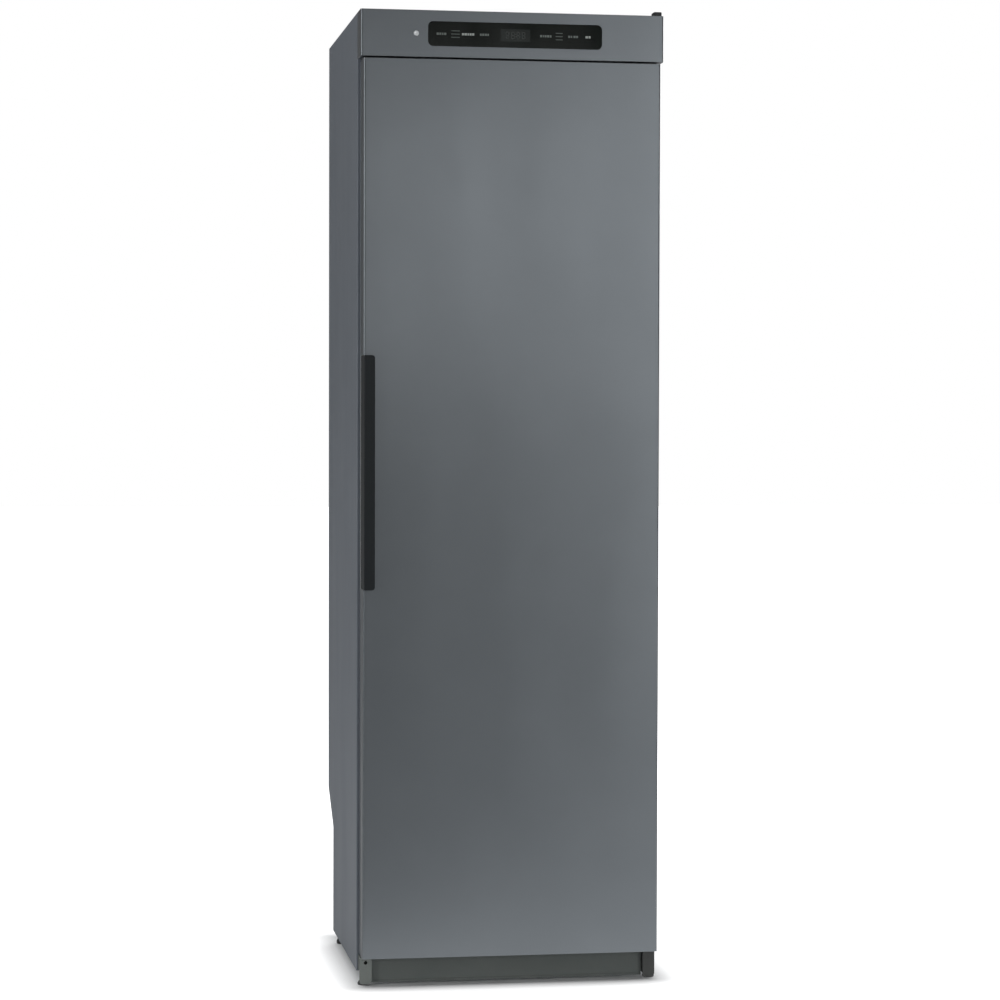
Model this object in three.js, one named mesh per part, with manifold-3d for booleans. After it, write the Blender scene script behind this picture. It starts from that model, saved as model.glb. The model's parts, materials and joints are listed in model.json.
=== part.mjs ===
/**
 * A tall free-standing drying cabinet with a heat pump in its base.
 *
 * Millimetres. +X is to the right when facing the door, +Y points to the back and +Z up.
 * The origin is on the floor, in the middle of the cabinet's footprint.
 */
import * as THREE from "three";
import { mergeVertices } from "three/addons/utils/BufferGeometryUtils.js";
import Module from "manifold-3d";

const wasm = await Module();
wasm.setup();

// ---------------------------------------------------------------- driving dimensions

// Overall sizes.
const WIDTH = 595;
const HEIGHT = 1895;
const DEPTH = 610;

// Gaps and sheet gauges.
const FIT = 0.3; // between pieces that touch
const SHEET = 1.2; // painted casing sheet
const LINING = 1.5; // chamber lining and chassis sheet
const PLATE = 3; // hinge plates

// Control fascia above the door.
const FASCIA_HEIGHT = 90;
const FASCIA_WALL = 2.5;
const FASCIA_CORNER = 4;
const FASCIA_GAP = 4; // to the top of the door

// Door.
const DOOR_INSET = 5.5; // the door is this much narrower than the casing on each side
const DOOR_BOTTOM = 58.4;
const DOOR_THICKNESS = 52;
const DOOR_CORNER = 4;
const DOOR_SHEET = 1;
const DOOR_RIM = 10; // depth of the inner lining's rim
const DOOR_CAP = 12; // height of the end caps
const LINER_WALL = 2.5;
const DYKE_CLEARANCE = 13; // from the chamber opening to the raised field of the door's lining
const DYKE_RISE = 12;
const HINGE_INSET = 14; // hinge axis from the door's right edge
const HINGE_SETBACK = 27; // hinge axis behind the door's front
const HINGE_PIN = 4; // radius
const PIN_LENGTH = 10; // how far the hinge pins reach into the door
const PIN_CLEARANCE = 0.4;
const UPPER_HINGE = { inner: 16, outer: 10, reach: 11, rise: 35 }; // its reach from the axis

// Door seal.
const SEAL_SPACE = 6; // between the door and the cabinet's face
const SEAL_WIDTH = 10;
const SEAL_INSET = 16; // from the door's edge to the outside of the seal
const SEAL_TOP_INSET = 13;
const SEAL_BOTTOM_INSET = 22;

// Handle.
const HANDLE_LENGTH = 453;
const HANDLE_BOTTOM = 776;
const HANDLE_WIDTH = 21;
const HANDLE_PROUD = 22;
const HANDLE_PLATE = 5;
const HANDLE_LEG = 6;
const HANDLE_LEG_DEPTH = 40; // how far the leg reaches along the door's edge
const HANDLE_END = 8;
const HANDLE_LIP = 3;
const HANDLE_CORNER = 6;
const HANDLE_EDGE = 3;

// Casing.
const SIDE_BOTTOM = 26;
const FRONT_RETURN = 33.5; // width of the side panel's folded front edge
const REAR_RETURN = 20;
const RECESS_DEPTH = 103; // step at the bottom of the back
const RECESS_LOW = 246;
const RECESS_TOP = 318;
const TRAY_BOTTOM = 28;
const TRAY_FRONT_TOP = 100;
const TRAY_LIP = 20;

// Drying chamber.
const WALL_THICKNESS = 31.5; // outer skin to chamber
const CHAMBER_FLOOR = 322;
const HEAD_SPACE = 125; // from the chamber's ceiling to the top of the cabinet
const DUCT_DEPTH = 75; // air duct behind the chamber
const DUCT_SLOT = { rows: 8, width: 150, height: 8, offset: 120, margin: 110 };

// Hanging racks.
const RACK_DEPTH = 400;
const RACK_SIDE_GAP = 36; // from the chamber wall to the rack
const RACK_ARM = { width: 8, height: 12 };
const RACK_ROD = 3.5; // radius
const RACK_RODS = 6;
const RACK_PIVOT_GAP = 18; // from the duct wall to the pivot
const RACK_EAR = { gap: 1, width: 3, height: 14, reach: 14 };
const TOP_RACK_DEPTH = 360;
const TOP_RACK_DROP = 80; // below the chamber's ceiling
const UPPER_RACK_DROP = 450; // below the top rack
const LOWER_RACK_DROP = 440; // below the upper rack

// Plinth, brackets and feet.
const PLINTH_SETBACK = 46; // behind the door's front
const PLINTH_BOTTOM = 4;
const PLINTH_TOP = 56.4;
const PLINTH_LIP = 8;
const PLINTH_END_GAP = 5; // to the brackets
const BRACKET_WIDTH = 20;
const BRACKET_INSET = 3.5; // from the casing's side
const BRACKET_SETBACK = 33;
const BRACKET_BOTTOM = 3;
const BRACKET_GAP = 1; // to the bottom of the door
const BRACKET_CORNER = 7;
const FOOT = { pad: 12, frontPad: 9, rearPad: 15, shank: 5 };
const REAR_FOOT_INSET = { x: 18, y: 16 };

// Control panel.
const WINDOW = { width: 342, height: 48, corner: 10, centre: 4 };
const WINDOW_FLANGE = 4;
const WINDOW_FLANGE_DEPTH = 2;
const BOARD_SETBACK = 17;
const BOARD_THICKNESS = 1.6;
const KEY = { width: 24, height: 16, corner: 3, travel: 1, collar: 1.5 };
const KEY_CENTRES = [-141, -89, -57, 63.5, 117.5, 147];
const DISPLAY = { width: 58, height: 24, centre: 4 };
const POWER_BUTTON = { x: -190, radius: 5, proud: 1.5, travel: 2, collar: 2 };

// Machine compartment.
const COIL = { depth: 60, height: 190, gaps: 20, gapWidth: 16, header: 12 };
const COIL_SPACING = 12;
const DRIP_TRAY = { halfWidth: 225, height: 28, wall: 2 };
const COMPRESSOR = { x: -150, space: 59.5, radius: 68, height: 180, plate: 4 }; // space to the coils
const PIPE = { radius: 4, sides: 8, bend: 22, steps: 24 };
const SUCTION = { offset: 14, rise: 36 };
const DISCHARGE = { height: 120, rise: 40, bend: 10 };
const FAN = { x: 40, space: 17, z: 172, width: 96, scroll: 92, wheel: 74, blades: 18, wall: 2.5 };
const MOTOR = { radius: 44, length: 62, shaft: 5 };
const FILTER = { halfWidth: 168, depth: 56, drop: 64, flange: 5, plate: 3, slots: 12 };
const FILTER_SETBACK = 24;
const INLET = { x: 220, z: 180, neck: 8, flange: 12, length: 16 };

// Smoothness of round pieces.
const CORNER_STEPS = 4;
const ROUND_SIDES = 24;
const ROD_SIDES = 10;
const MERGE_DISTANCE = 1e-3;

// ---------------------------------------------------------------- places that follow from them

const HALF = WIDTH / 2;
const FRONT = (HANDLE_PROUD - DEPTH) / 2; // front of the door and fascia
const BACK = FRONT + DEPTH;
const FACE = FRONT + DOOR_THICKNESS + SEAL_SPACE; // the cabinet's face that the seal meets
const INSIDE = HALF - SHEET - FIT; // widest piece that fits between the side panels
const FASCIA_BOTTOM = HEIGHT - FASCIA_HEIGHT;
const DOOR_TOP = FASCIA_BOTTOM - FASCIA_GAP;
const DOOR_HALF = HALF - DOOR_INSET;
const PANEL_Z = HEIGHT - FASCIA_HEIGHT / 2; // middle of the control panel
const HINGE_X = DOOR_HALF - HINGE_INSET;
const HINGE_Y = FRONT + HINGE_SETBACK;
const CHAMBER_HALF = HALF - WALL_THICKNESS;
const BETWEEN_RETURNS = HALF - FRONT_RETURN - FIT;
const DUCT_WALL = BACK - DUCT_DEPTH; // front face of the chamber's rear wall
const RECESS_Y = BACK - RECESS_DEPTH;
const TRAY_TOP = TRAY_BOTTOM + LINING;
const CASING_TOP = HEIGHT - SHEET - FIT; // highest piece under the top panel
const BACK_SHEET = BACK - SHEET - FIT; // outer face of the back panel
const CHAMBER_CEILING = HEIGHT - HEAD_SPACE;
const TOP_RACK_Z = CHAMBER_CEILING - TOP_RACK_DROP;
const UPPER_RACK_Z = TOP_RACK_Z - UPPER_RACK_DROP;
const LOWER_RACK_Z = UPPER_RACK_Z - LOWER_RACK_DROP;
const RACK_PIVOT_Y = DUCT_WALL - RACK_PIVOT_GAP;
const RACK_HALF = CHAMBER_HALF - RACK_SIDE_GAP;

// The door is drawn about its hinge axis.
const EDGE_RIGHT = HINGE_INSET;
const EDGE_LEFT = HINGE_INSET - 2 * DOOR_HALF;
const DOOR_FRONT = -HINGE_SETBACK;
const DOOR_REAR = DOOR_FRONT + DOOR_THICKNESS;
const LINER_FRONT = DOOR_REAR - DOOR_RIM;

// Base.
const BRACKET_OUTER = HALF - BRACKET_INSET;
const BRACKET_INNER = BRACKET_OUTER - BRACKET_WIDTH;
const BRACKET_TOP = DOOR_BOTTOM - BRACKET_GAP;
const COIL_FRONT = FACE + LINING + FILTER_SETBACK + FILTER.depth + FILTER.flange;
const COIL_REAR = COIL_FRONT + 2 * COIL.depth + COIL_SPACING;
const COMPRESSOR_Y = COIL_REAR + COMPRESSOR.space + COMPRESSOR.radius;
const FAN_Y = RECESS_Y - FAN.space - FAN.scroll; // its space is to the recess panel

// ---------------------------------------------------------------- finishes

const FINISHES = {
  anthracite: { color: 0x6a6f73, roughness: 0.42, metalness: 0.55 },
  sidePaint: { color: 0x65696e, roughness: 0.5, metalness: 0.35 },
  zinc: { color: 0x9aa0a3, roughness: 0.45, metalness: 0.8 },
  lining: { color: 0xc9cccd, roughness: 0.5, metalness: 0.1 },
  stainless: { color: 0xa8abad, roughness: 0.3, metalness: 0.95 },
  blackPlastic: { color: 0x232629, roughness: 0.45, metalness: 0.0 },
  darkPlastic: { color: 0x3b403f, roughness: 0.55, metalness: 0.0 },
  blackGlass: { color: 0x0c0f0e, roughness: 0.12, metalness: 0.0 },
  silver: { color: 0xd4d8da, roughness: 0.3, metalness: 0.6 },
  rubber: { color: 0x6d7072, roughness: 0.8, metalness: 0.0 },
  foam: { color: 0xd9cfa8, roughness: 0.95, metalness: 0.0 },
  board: { color: 0x1f5a3a, roughness: 0.6, metalness: 0.0 },
  copper: { color: 0xb06a3b, roughness: 0.35, metalness: 1.0 },
  compressorPaint: { color: 0x17181a, roughness: 0.4, metalness: 0.3 },
};

// ---------------------------------------------------------------- shape helpers

/** A closed geometry as a solid that can be joined and cut. */
function toSolid(geometry) {
  const bare = geometry.clone();
  bare.deleteAttribute("normal");
  bare.deleteAttribute("uv");
  const merged = mergeVertices(bare, MERGE_DISTANCE);
  const mesh = new wasm.Mesh({
    numProp: 3,
    vertProperties: new Float32Array(merged.attributes.position.array),
    triVerts: new Uint32Array(merged.index.array),
  });
  return new wasm.Manifold(mesh);
}

function toGeometry(solid) {
  const mesh = solid.getMesh();
  const geometry = new THREE.BufferGeometry();
  geometry.setAttribute("position", new THREE.BufferAttribute(mesh.vertProperties, 3));
  geometry.setIndex(new THREE.BufferAttribute(mesh.triVerts, 1));
  geometry.computeVertexNormals();
  return geometry;
}

function join(...geometries) {
  return toGeometry(geometries.map(toSolid).reduce((all, next) => all.add(next)));
}

function cut(body, ...tools) {
  return toGeometry(tools.map(toSolid).reduce((rest, tool) => rest.subtract(tool), toSolid(body)));
}

function overlap(a, b) {
  return toGeometry(toSolid(a).intersect(toSolid(b)));
}

/** A box between two limits on each axis. */
function block([x0, x1], [y0, y1], [z0, z1]) {
  const box = new THREE.BoxGeometry(x1 - x0, y1 - y0, z1 - z0);
  return box.translate((x0 + x1) / 2, (y0 + y1) / 2, (z0 + z1) / 2);
}

function extruded(shape, depth) {
  const options = { depth, bevelEnabled: false, curveSegments: CORNER_STEPS };
  return new THREE.ExtrudeGeometry(shape, options);
}

/** An outline in Y and Z, drawn out along X. */
function prismX(shape, [x0, x1]) {
  const turn = new THREE.Matrix4().makeBasis(
    new THREE.Vector3(0, 1, 0),
    new THREE.Vector3(0, 0, 1),
    new THREE.Vector3(1, 0, 0),
  );
  return extruded(shape, x1 - x0)
    .applyMatrix4(turn)
    .translate(x0, 0, 0);
}

/** An outline in X and Z, drawn out along Y. */
function prismY(shape, [y0, y1]) {
  return extruded(shape, y1 - y0)
    .rotateX(Math.PI / 2)
    .translate(0, y1, 0);
}

/** An outline in X and Y, drawn out along Z. */
function prismZ(shape, [z0, z1]) {
  return extruded(shape, z1 - z0).translate(0, 0, z0);
}

/** A rectangle between limits, each corner with its own radius, from the lower left round. */
function rectangle([u0, u1], [v0, v1], [r0 = 0, r1 = r0, r2 = r0, r3 = r0] = []) {
  const quarter = Math.PI / 2;
  const corners = [
    [u0 + r0, v0 + r0, r0, 2],
    [u1 - r1, v0 + r1, r1, 3],
    [u1 - r2, v1 - r2, r2, 0],
    [u0 + r3, v1 - r3, r3, 1],
  ];
  const shape = new THREE.Shape();
  for (const [u, v, radius, turn] of corners) {
    if (radius > 0) shape.absarc(u, v, radius, turn * quarter, (turn + 1) * quarter);
    else if (shape.curves.length === 0 && turn === 2) shape.moveTo(u, v);
    else shape.lineTo(u, v);
  }
  return shape;
}

/** The outline of a sheet bent along a line of points, its thickness on the left of the line. */
function bentSheet(points, thickness) {
  const line = points.map(([u, v]) => new THREE.Vector2(u, v));
  const normals = line.slice(1).map((point, i) => {
    const along = point.clone().sub(line[i]).normalize();
    return new THREE.Vector2(-along.y, along.x);
  });
  const offset = line.map((point, i) => {
    const before = normals[Math.max(i - 1, 0)];
    const after = normals[Math.min(i, normals.length - 1)];
    const mitre = before.clone().add(after).normalize();
    return point.clone().addScaledVector(mitre, thickness / mitre.dot(after));
  });
  return new THREE.Shape([...line, ...offset.reverse()]);
}

/** A round bar between two points. */
function rod(from, to, radius, sides = ROD_SIDES) {
  const start = new THREE.Vector3(...from);
  const end = new THREE.Vector3(...to);
  const along = end.clone().sub(start);
  const turn = new THREE.Quaternion().setFromUnitVectors(
    new THREE.Vector3(0, 1, 0),
    along.clone().normalize(),
  );
  const middle = start.add(end).multiplyScalar(1 / 2);
  return new THREE.CylinderGeometry(radius, radius, along.length(), sides)
    .applyQuaternion(turn)
    .translate(...middle);
}

/** A turned piece about Z: its profile of [radius, height] starts and ends on the axis. */
function turned(profile, sides = ROUND_SIDES) {
  const points = profile.map(([radius, height]) => new THREE.Vector2(radius, height));
  return new THREE.LatheGeometry(points, sides).rotateX(Math.PI / 2);
}

/** A pipe through points, with round bends. */
function pipe(points, { radius, sides, bend, steps }) {
  const path = new THREE.CurvePath();
  const corners = points.map((point) => new THREE.Vector3(...point));
  let start = corners[0];
  for (let i = 1; i < corners.length - 1; i++) {
    const corner = corners[i];
    const into = corner.clone().addScaledVector(start.clone().sub(corner).normalize(), bend);
    const out = corner.clone().addScaledVector(corners[i + 1].clone().sub(corner).normalize(), bend);
    path.add(new THREE.LineCurve3(start, into));
    path.add(new THREE.QuadraticBezierCurve3(into, corner, out));
    start = out;
  }
  path.add(new THREE.LineCurve3(start, corners.at(-1)));
  const section = new THREE.Shape(
    Array.from({ length: sides }, (_, i) => {
      const angle = (2 * Math.PI * i) / sides;
      return new THREE.Vector2(radius * Math.cos(angle), radius * Math.sin(angle));
    }),
  );
  return new THREE.ExtrudeGeometry(section, { steps, extrudePath: path });
}

/** Both sides of the cabinet from one range on the right: its limits along X. */
function across(side, inner, outer) {
  return side > 0 ? [inner, outer] : [-outer, -inner];
}

/** One named piece with its own material. */
function piece(name, geometry, finish, position = [0, 0, 0]) {
  const mesh = new THREE.Mesh(geometry, new THREE.MeshStandardMaterial(FINISHES[finish]));
  mesh.name = name;
  mesh.position.set(...position);
  return mesh;
}

function group(position, ...children) {
  const made = new THREE.Group();
  made.position.set(...position);
  made.add(...children);
  return made;
}

const SIDES = [
  { side: -1, label: "left" },
  { side: 1, label: "right" },
];

// ---------------------------------------------------------------- casing

/** Side panel: a skin with a step cut at the lower back, and folded front and rear edges. */
function sidePanel({ side, label }) {
  const outline = new THREE.Shape([
    new THREE.Vector2(FACE, SIDE_BOTTOM),
    new THREE.Vector2(RECESS_Y, SIDE_BOTTOM),
    new THREE.Vector2(RECESS_Y, RECESS_LOW),
    new THREE.Vector2(BACK, RECESS_TOP),
    new THREE.Vector2(BACK, HEIGHT),
    new THREE.Vector2(FACE, HEIGHT),
  ]);
  const skin = prismX(outline, across(side, HALF - SHEET, HALF));
  const frontEdge = block(
    across(side, HALF - FRONT_RETURN, HALF),
    [FACE, FACE + SHEET],
    [SIDE_BOTTOM, CASING_TOP],
  );
  const rearEdge = block(
    across(side, HALF - REAR_RETURN, HALF),
    [BACK - SHEET, BACK],
    [RECESS_TOP, CASING_TOP],
  );
  return piece(`side_panel_${label}`, join(skin, frontEdge, rearEdge), "sidePaint");
}

function topPanel() {
  const sheet = block([-INSIDE, INSIDE], [FACE, BACK], [HEIGHT - SHEET, HEIGHT]);
  return piece("top_panel", sheet, "sidePaint");
}

function backPanel() {
  const sheet = block(
    [-INSIDE, INSIDE],
    [BACK_SHEET - SHEET, BACK_SHEET],
    [RECESS_TOP + FIT, CASING_TOP],
  );
  return piece("back_panel", sheet, "zinc");
}

/** Closes the machine compartment at the back, along the step of the side panels. */
function recessPanel() {
  const slope = (BACK_SHEET - RECESS_Y) / (BACK - RECESS_Y);
  const slantTop = RECESS_LOW + (RECESS_TOP - RECESS_LOW) * slope;
  const profile = bentSheet(
    [
      [RECESS_Y, TRAY_BOTTOM],
      [RECESS_Y, RECESS_LOW],
      [BACK_SHEET, slantTop],
    ],
    SHEET,
  );
  const louvre = { width: 90, height: 5, pitch: 14, count: 5, bottom: 90 };
  const slots = Array.from({ length: louvre.count }, (_, i) => {
    const z = louvre.bottom + i * louvre.pitch;
    return block(
      [COMPRESSOR.x - louvre.width / 2, COMPRESSOR.x + louvre.width / 2],
      [RECESS_Y - 2 * SHEET, RECESS_Y + SHEET],
      [z, z + louvre.height],
    );
  });
  const inletHole = rod(
    [INLET.x, RECESS_Y - 2 * SHEET, INLET.z],
    [INLET.x, RECESS_Y + SHEET, INLET.z],
    INLET.neck + FIT,
    ROUND_SIDES,
  );
  return piece("recess_panel", cut(prismX(profile, [-INSIDE, INSIDE]), ...slots, inletHole), "zinc");
}

/** Chassis: a pan whose raised front closes the bottom of the door opening. */
function baseTray() {
  const back = RECESS_Y - SHEET - FIT;
  const between = [-BETWEEN_RETURNS, BETWEEN_RETURNS];
  const front = block(between, [FACE, FACE + LINING], [TRAY_BOTTOM, TRAY_FRONT_TOP]);
  const bridge = block(between, [FACE, back], [TRAY_BOTTOM, TRAY_TOP]);
  const pan = block([-INSIDE, INSIDE], [FACE + SHEET + FIT, back], [TRAY_BOTTOM, TRAY_TOP]);
  const lips = SIDES.map(({ side }) =>
    block(
      across(side, INSIDE - LINING, INSIDE),
      [FACE + SHEET + FIT, back],
      [TRAY_BOTTOM, TRAY_BOTTOM + TRAY_LIP],
    ),
  );
  const rearLip = block([-INSIDE, INSIDE], [back - LINING, back], [TRAY_BOTTOM, TRAY_BOTTOM + TRAY_LIP]);
  return piece("base_tray", join(front, bridge, pan, rearLip, ...lips), "zinc");
}

/** Removable cover behind the door, in front of the machine compartment. */
function compartmentCover() {
  const fold = 14;
  const profile = bentSheet(
    [
      [FACE + fold, TRAY_FRONT_TOP + FIT],
      [FACE, TRAY_FRONT_TOP + FIT],
      [FACE, CHAMBER_FLOOR - LINING - FIT],
      [FACE + fold, CHAMBER_FLOOR - LINING - FIT],
    ],
    -SHEET,
  );
  return piece("compartment_cover", prismX(profile, [-BETWEEN_RETURNS, BETWEEN_RETURNS]), "sidePaint");
}

function casing() {
  return group(
    [0, 0, 0],
    ...SIDES.map(sidePanel),
    topPanel(),
    backPanel(),
    recessPanel(),
    baseTray(),
    compartmentCover(),
  );
}

// ---------------------------------------------------------------- drying chamber

function chamberWall({ side, label }) {
  const sheet = block(
    across(side, CHAMBER_HALF, CHAMBER_HALF + LINING),
    [FACE + SHEET + FIT, DUCT_WALL + LINING],
    [CHAMBER_FLOOR - LINING, CHAMBER_CEILING + LINING],
  );
  return piece(`chamber_wall_${label}`, sheet, "lining");
}

function insulation({ side, label }) {
  const sheet = block(
    across(side, CHAMBER_HALF + LINING + FIT, INSIDE),
    [FACE + SHEET + FIT, BACK_SHEET - SHEET - FIT],
    [CHAMBER_FLOOR - LINING, CHAMBER_CEILING + LINING],
  );
  return piece(`insulation_${label}`, sheet, "foam");
}

/** Ceiling sheet whose front edge turns up behind the control fascia. */
function chamberCeiling() {
  const half = CHAMBER_HALF - FIT;
  const between = [-BETWEEN_RETURNS, BETWEEN_RETURNS];
  const thickness = [CHAMBER_CEILING, CHAMBER_CEILING + LINING];
  const sheet = block([-half, half], [FACE + SHEET + FIT, DUCT_WALL - FIT], thickness);
  const bridge = block(between, [FACE, DUCT_WALL - FIT], thickness);
  const front = block(between, [FACE, FACE + LINING], [CHAMBER_CEILING, CASING_TOP]);
  return piece("chamber_ceiling", join(sheet, bridge, front), "lining");
}

/** Floor sheet with the opening that the lint filter drops into. */
function chamberFloor() {
  const half = CHAMBER_HALF - FIT;
  const sheet = block(
    [-half, half],
    [FACE + SHEET + FIT, DUCT_WALL - FIT],
    [CHAMBER_FLOOR - LINING, CHAMBER_FLOOR],
  );
  const opening = block(
    [-FILTER.halfWidth - FIT, FILTER.halfWidth + FIT],
    filterRange(FIT),
    [CHAMBER_FLOOR - 2 * LINING, CHAMBER_FLOOR + LINING],
  );
  return piece("chamber_floor", cut(sheet, opening), "lining");
}

/** Rear wall of the chamber, with slots that let the warm air in from the duct behind it. */
function airDuctWall() {
  const half = CHAMBER_HALF - FIT;
  const sheet = block(
    [-half, half],
    [DUCT_WALL, DUCT_WALL + LINING],
    [CHAMBER_FLOOR - LINING, CHAMBER_CEILING + LINING],
  );
  const { rows, width, height, offset, margin } = DUCT_SLOT;
  const pitch = (CHAMBER_CEILING - CHAMBER_FLOOR - 2 * margin) / (rows - 1);
  const slots = [];
  for (let row = 0; row < rows; row++) {
    const z = CHAMBER_FLOOR + margin + row * pitch;
    for (const x of [-offset, offset]) {
      slots.push(
        block(
          [x - width / 2, x + width / 2],
          [DUCT_WALL - LINING, DUCT_WALL + 2 * LINING],
          [z - height / 2, z + height / 2],
        ),
      );
    }
  }
  return piece("air_duct_wall", cut(sheet, ...slots), "lining");
}

function humiditySensor() {
  const size = { width: 50, depth: 12, height: 30, slot: 3 };
  const z = (TOP_RACK_Z + UPPER_RACK_Z + RACK_DEPTH) / 2;
  const body = block(
    [-size.width / 2, size.width / 2],
    [-size.depth, 0],
    [-size.height / 2, size.height / 2],
  );
  const slots = [-1, 0, 1].map((i) =>
    block(
      [-size.width / 3, size.width / 3],
      [-size.depth - size.slot, -size.depth + size.slot],
      [2 * i * size.slot - size.slot / 2, 2 * i * size.slot + size.slot / 2],
    ),
  );
  return piece("humidity_sensor", cut(body, ...slots), "blackPlastic", [0, DUCT_WALL - FIT, z]);
}

function chamber() {
  return group(
    [0, 0, 0],
    ...SIDES.map(chamberWall),
    ...SIDES.map(insulation),
    chamberCeiling(),
    chamberFloor(),
    airDuctWall(),
    humiditySensor(),
  );
}

// ---------------------------------------------------------------- hanging racks

/** Cross rods of a rack, spread evenly over its depth from a front bar towards the back. */
function crossRods(half, depth) {
  const pitch = depth / RACK_RODS;
  return Array.from({ length: RACK_RODS }, (_, i) => {
    const y = -depth + RACK_ARM.height / 2 + i * pitch;
    return rod([-half, y, 0], [half, y, 0], RACK_ROD);
  });
}

/** A rack that folds up about its rear axle, drawn level with the axle at the origin. */
function foldingRack(name, z) {
  const radius = RACK_ARM.height / 2;
  const arm = new THREE.Shape();
  arm.absarc(0, 0, radius, -Math.PI / 2, Math.PI / 2);
  arm.lineTo(-RACK_DEPTH, radius);
  arm.lineTo(-RACK_DEPTH, -radius);
  const arms = SIDES.map(({ side }) => prismX(arm, across(side, RACK_HALF - RACK_ARM.width, RACK_HALF)));
  const reach = RACK_HALF + RACK_EAR.gap + RACK_EAR.width;
  const axle = rod([-reach, 0, 0], [reach, 0, 0], RACK_ROD);
  const rods = crossRods(RACK_HALF - RACK_ARM.width / 2, RACK_DEPTH);
  return piece(name, join(...arms, axle, ...rods), "stainless", [0, RACK_PIVOT_Y, z]);
}

/** Wall bracket of a folding rack: two ears for its axle and two shelves that its arms rest on. */
function rackBracket(name, z) {
  const wall = RACK_PIVOT_GAP - FIT;
  const outer = RACK_HALF + RACK_EAR.gap + RACK_EAR.width;
  const strip = block([-outer, outer], [wall - LINING, wall], [-RACK_EAR.height, RACK_EAR.height]);
  const solids = [strip];
  for (const { side } of SIDES) {
    const under = -RACK_ARM.height / 2 - FIT;
    const ear = block(
      across(side, outer - RACK_EAR.width, outer),
      [-RACK_EAR.reach, wall],
      [-RACK_EAR.height, RACK_EAR.height],
    );
    const shelf = block(
      across(side, RACK_HALF - RACK_ARM.width, outer),
      [-RACK_EAR.reach, wall],
      [under - LINING, under],
    );
    solids.push(ear, shelf);
  }
  const bore = rod([-HALF, 0, 0], [HALF, 0, 0], RACK_ROD + FIT, ROD_SIDES);
  return piece(name, cut(join(...solids), bore), "zinc", [0, RACK_PIVOT_Y, z]);
}

/** The top rack is fixed: its arms are screwed to the chamber's side walls. */
function topRack() {
  const half = CHAMBER_HALF - FIT;
  const length = TOP_RACK_DEPTH;
  const arms = SIDES.map(({ side }) =>
    block(
      across(side, half - RACK_ARM.width / 2, half),
      [-length, RACK_ARM.height],
      [-RACK_ARM.height, RACK_ARM.height],
    ),
  );
  const rear = rod([-half + FIT, 0, 0], [half - FIT, 0, 0], RACK_ROD);
  const rods = crossRods(half - RACK_ARM.width / 4, length);
  return piece("top_rack", join(...arms, rear, ...rods), "stainless", [0, RACK_PIVOT_Y, TOP_RACK_Z]);
}

function racks() {
  return group(
    [0, 0, 0],
    topRack(),
    foldingRack("upper_rack", UPPER_RACK_Z),
    foldingRack("lower_rack", LOWER_RACK_Z),
    rackBracket("upper_rack_bracket", UPPER_RACK_Z),
    rackBracket("lower_rack_bracket", LOWER_RACK_Z),
  );
}

// ---------------------------------------------------------------- control panel

/** Fascia shell, open at the back, with holes for the window, power button and upper hinge. */
function controlFascia() {
  const depth = [FRONT, FACE - FIT];
  const corners = [FASCIA_CORNER, FASCIA_CORNER, 0, 0];
  const shell = prismZ(rectangle([-HALF, HALF], depth, corners), [FASCIA_BOTTOM, HEIGHT]);
  const hollow = block(
    [-HALF + FASCIA_WALL, HALF - FASCIA_WALL],
    [FRONT + FASCIA_WALL, FACE + FASCIA_WALL],
    [FASCIA_BOTTOM + FASCIA_WALL, HEIGHT - FASCIA_WALL],
  );
  const throughFront = [FRONT - FASCIA_WALL, FRONT + 2 * FASCIA_WALL];
  const window = prismY(windowOutline(0), throughFront).translate(WINDOW.centre, 0, PANEL_Z);
  const button = rod(
    [POWER_BUTTON.x, throughFront[0], PANEL_Z],
    [POWER_BUTTON.x, throughFront[1], PANEL_Z],
    POWER_BUTTON.radius + FIT,
    ROUND_SIDES,
  );
  const hingeSlot = block(
    [HINGE_X - UPPER_HINGE.inner - FIT, HINGE_X + UPPER_HINGE.outer + FIT],
    [FACE - FIT - PLATE - FIT, FACE + FIT],
    [FASCIA_BOTTOM - FIT, FASCIA_BOTTOM + 2 * FASCIA_WALL],
  );
  return piece("control_fascia", cut(shell, hollow, window, button, hingeSlot), "anthracite");
}

function windowOutline(grow) {
  const { width, height, corner } = WINDOW;
  const radius = [Math.max(corner + grow, 1)];
  return rectangle([-width / 2 - grow, width / 2 + grow], [-height / 2 - grow, height / 2 + grow], radius);
}

function keyOutline(grow) {
  const { width, height, corner } = KEY;
  const radius = [corner + grow];
  return rectangle([-width / 2 - grow, width / 2 + grow], [-height / 2 - grow, height / 2 + grow], radius);
}

/** Black window: its pane fills the hole in the fascia and its flange lies behind it. */
function controlWindow() {
  const flangeFront = FASCIA_WALL + FIT;
  const flangeBack = flangeFront + WINDOW_FLANGE_DEPTH;
  const pane = prismY(windowOutline(-FIT), [0, flangeBack]);
  const flange = prismY(windowOutline(WINDOW_FLANGE), [flangeFront, flangeBack]);
  const post = { x: WINDOW.width / 2 - 8, z: WINDOW.height / 2 - 3, radius: 3 };
  const posts = [];
  for (const x of [-post.x, post.x]) {
    for (const z of [-post.z, post.z]) {
      posts.push(rod([x, flangeBack - FIT, z], [x, BOARD_SETBACK - FIT, z], post.radius));
    }
  }
  const holes = KEY_CENTRES.map((x) =>
    prismY(keyOutline(FIT), [-FIT, flangeBack + FIT]).translate(x - WINDOW.centre, 0, 0),
  );
  const window = cut(join(pane, flange, ...posts), ...holes);
  return piece("control_window", window, "blackGlass", [WINDOW.centre, FRONT, PANEL_Z]);
}

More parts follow.
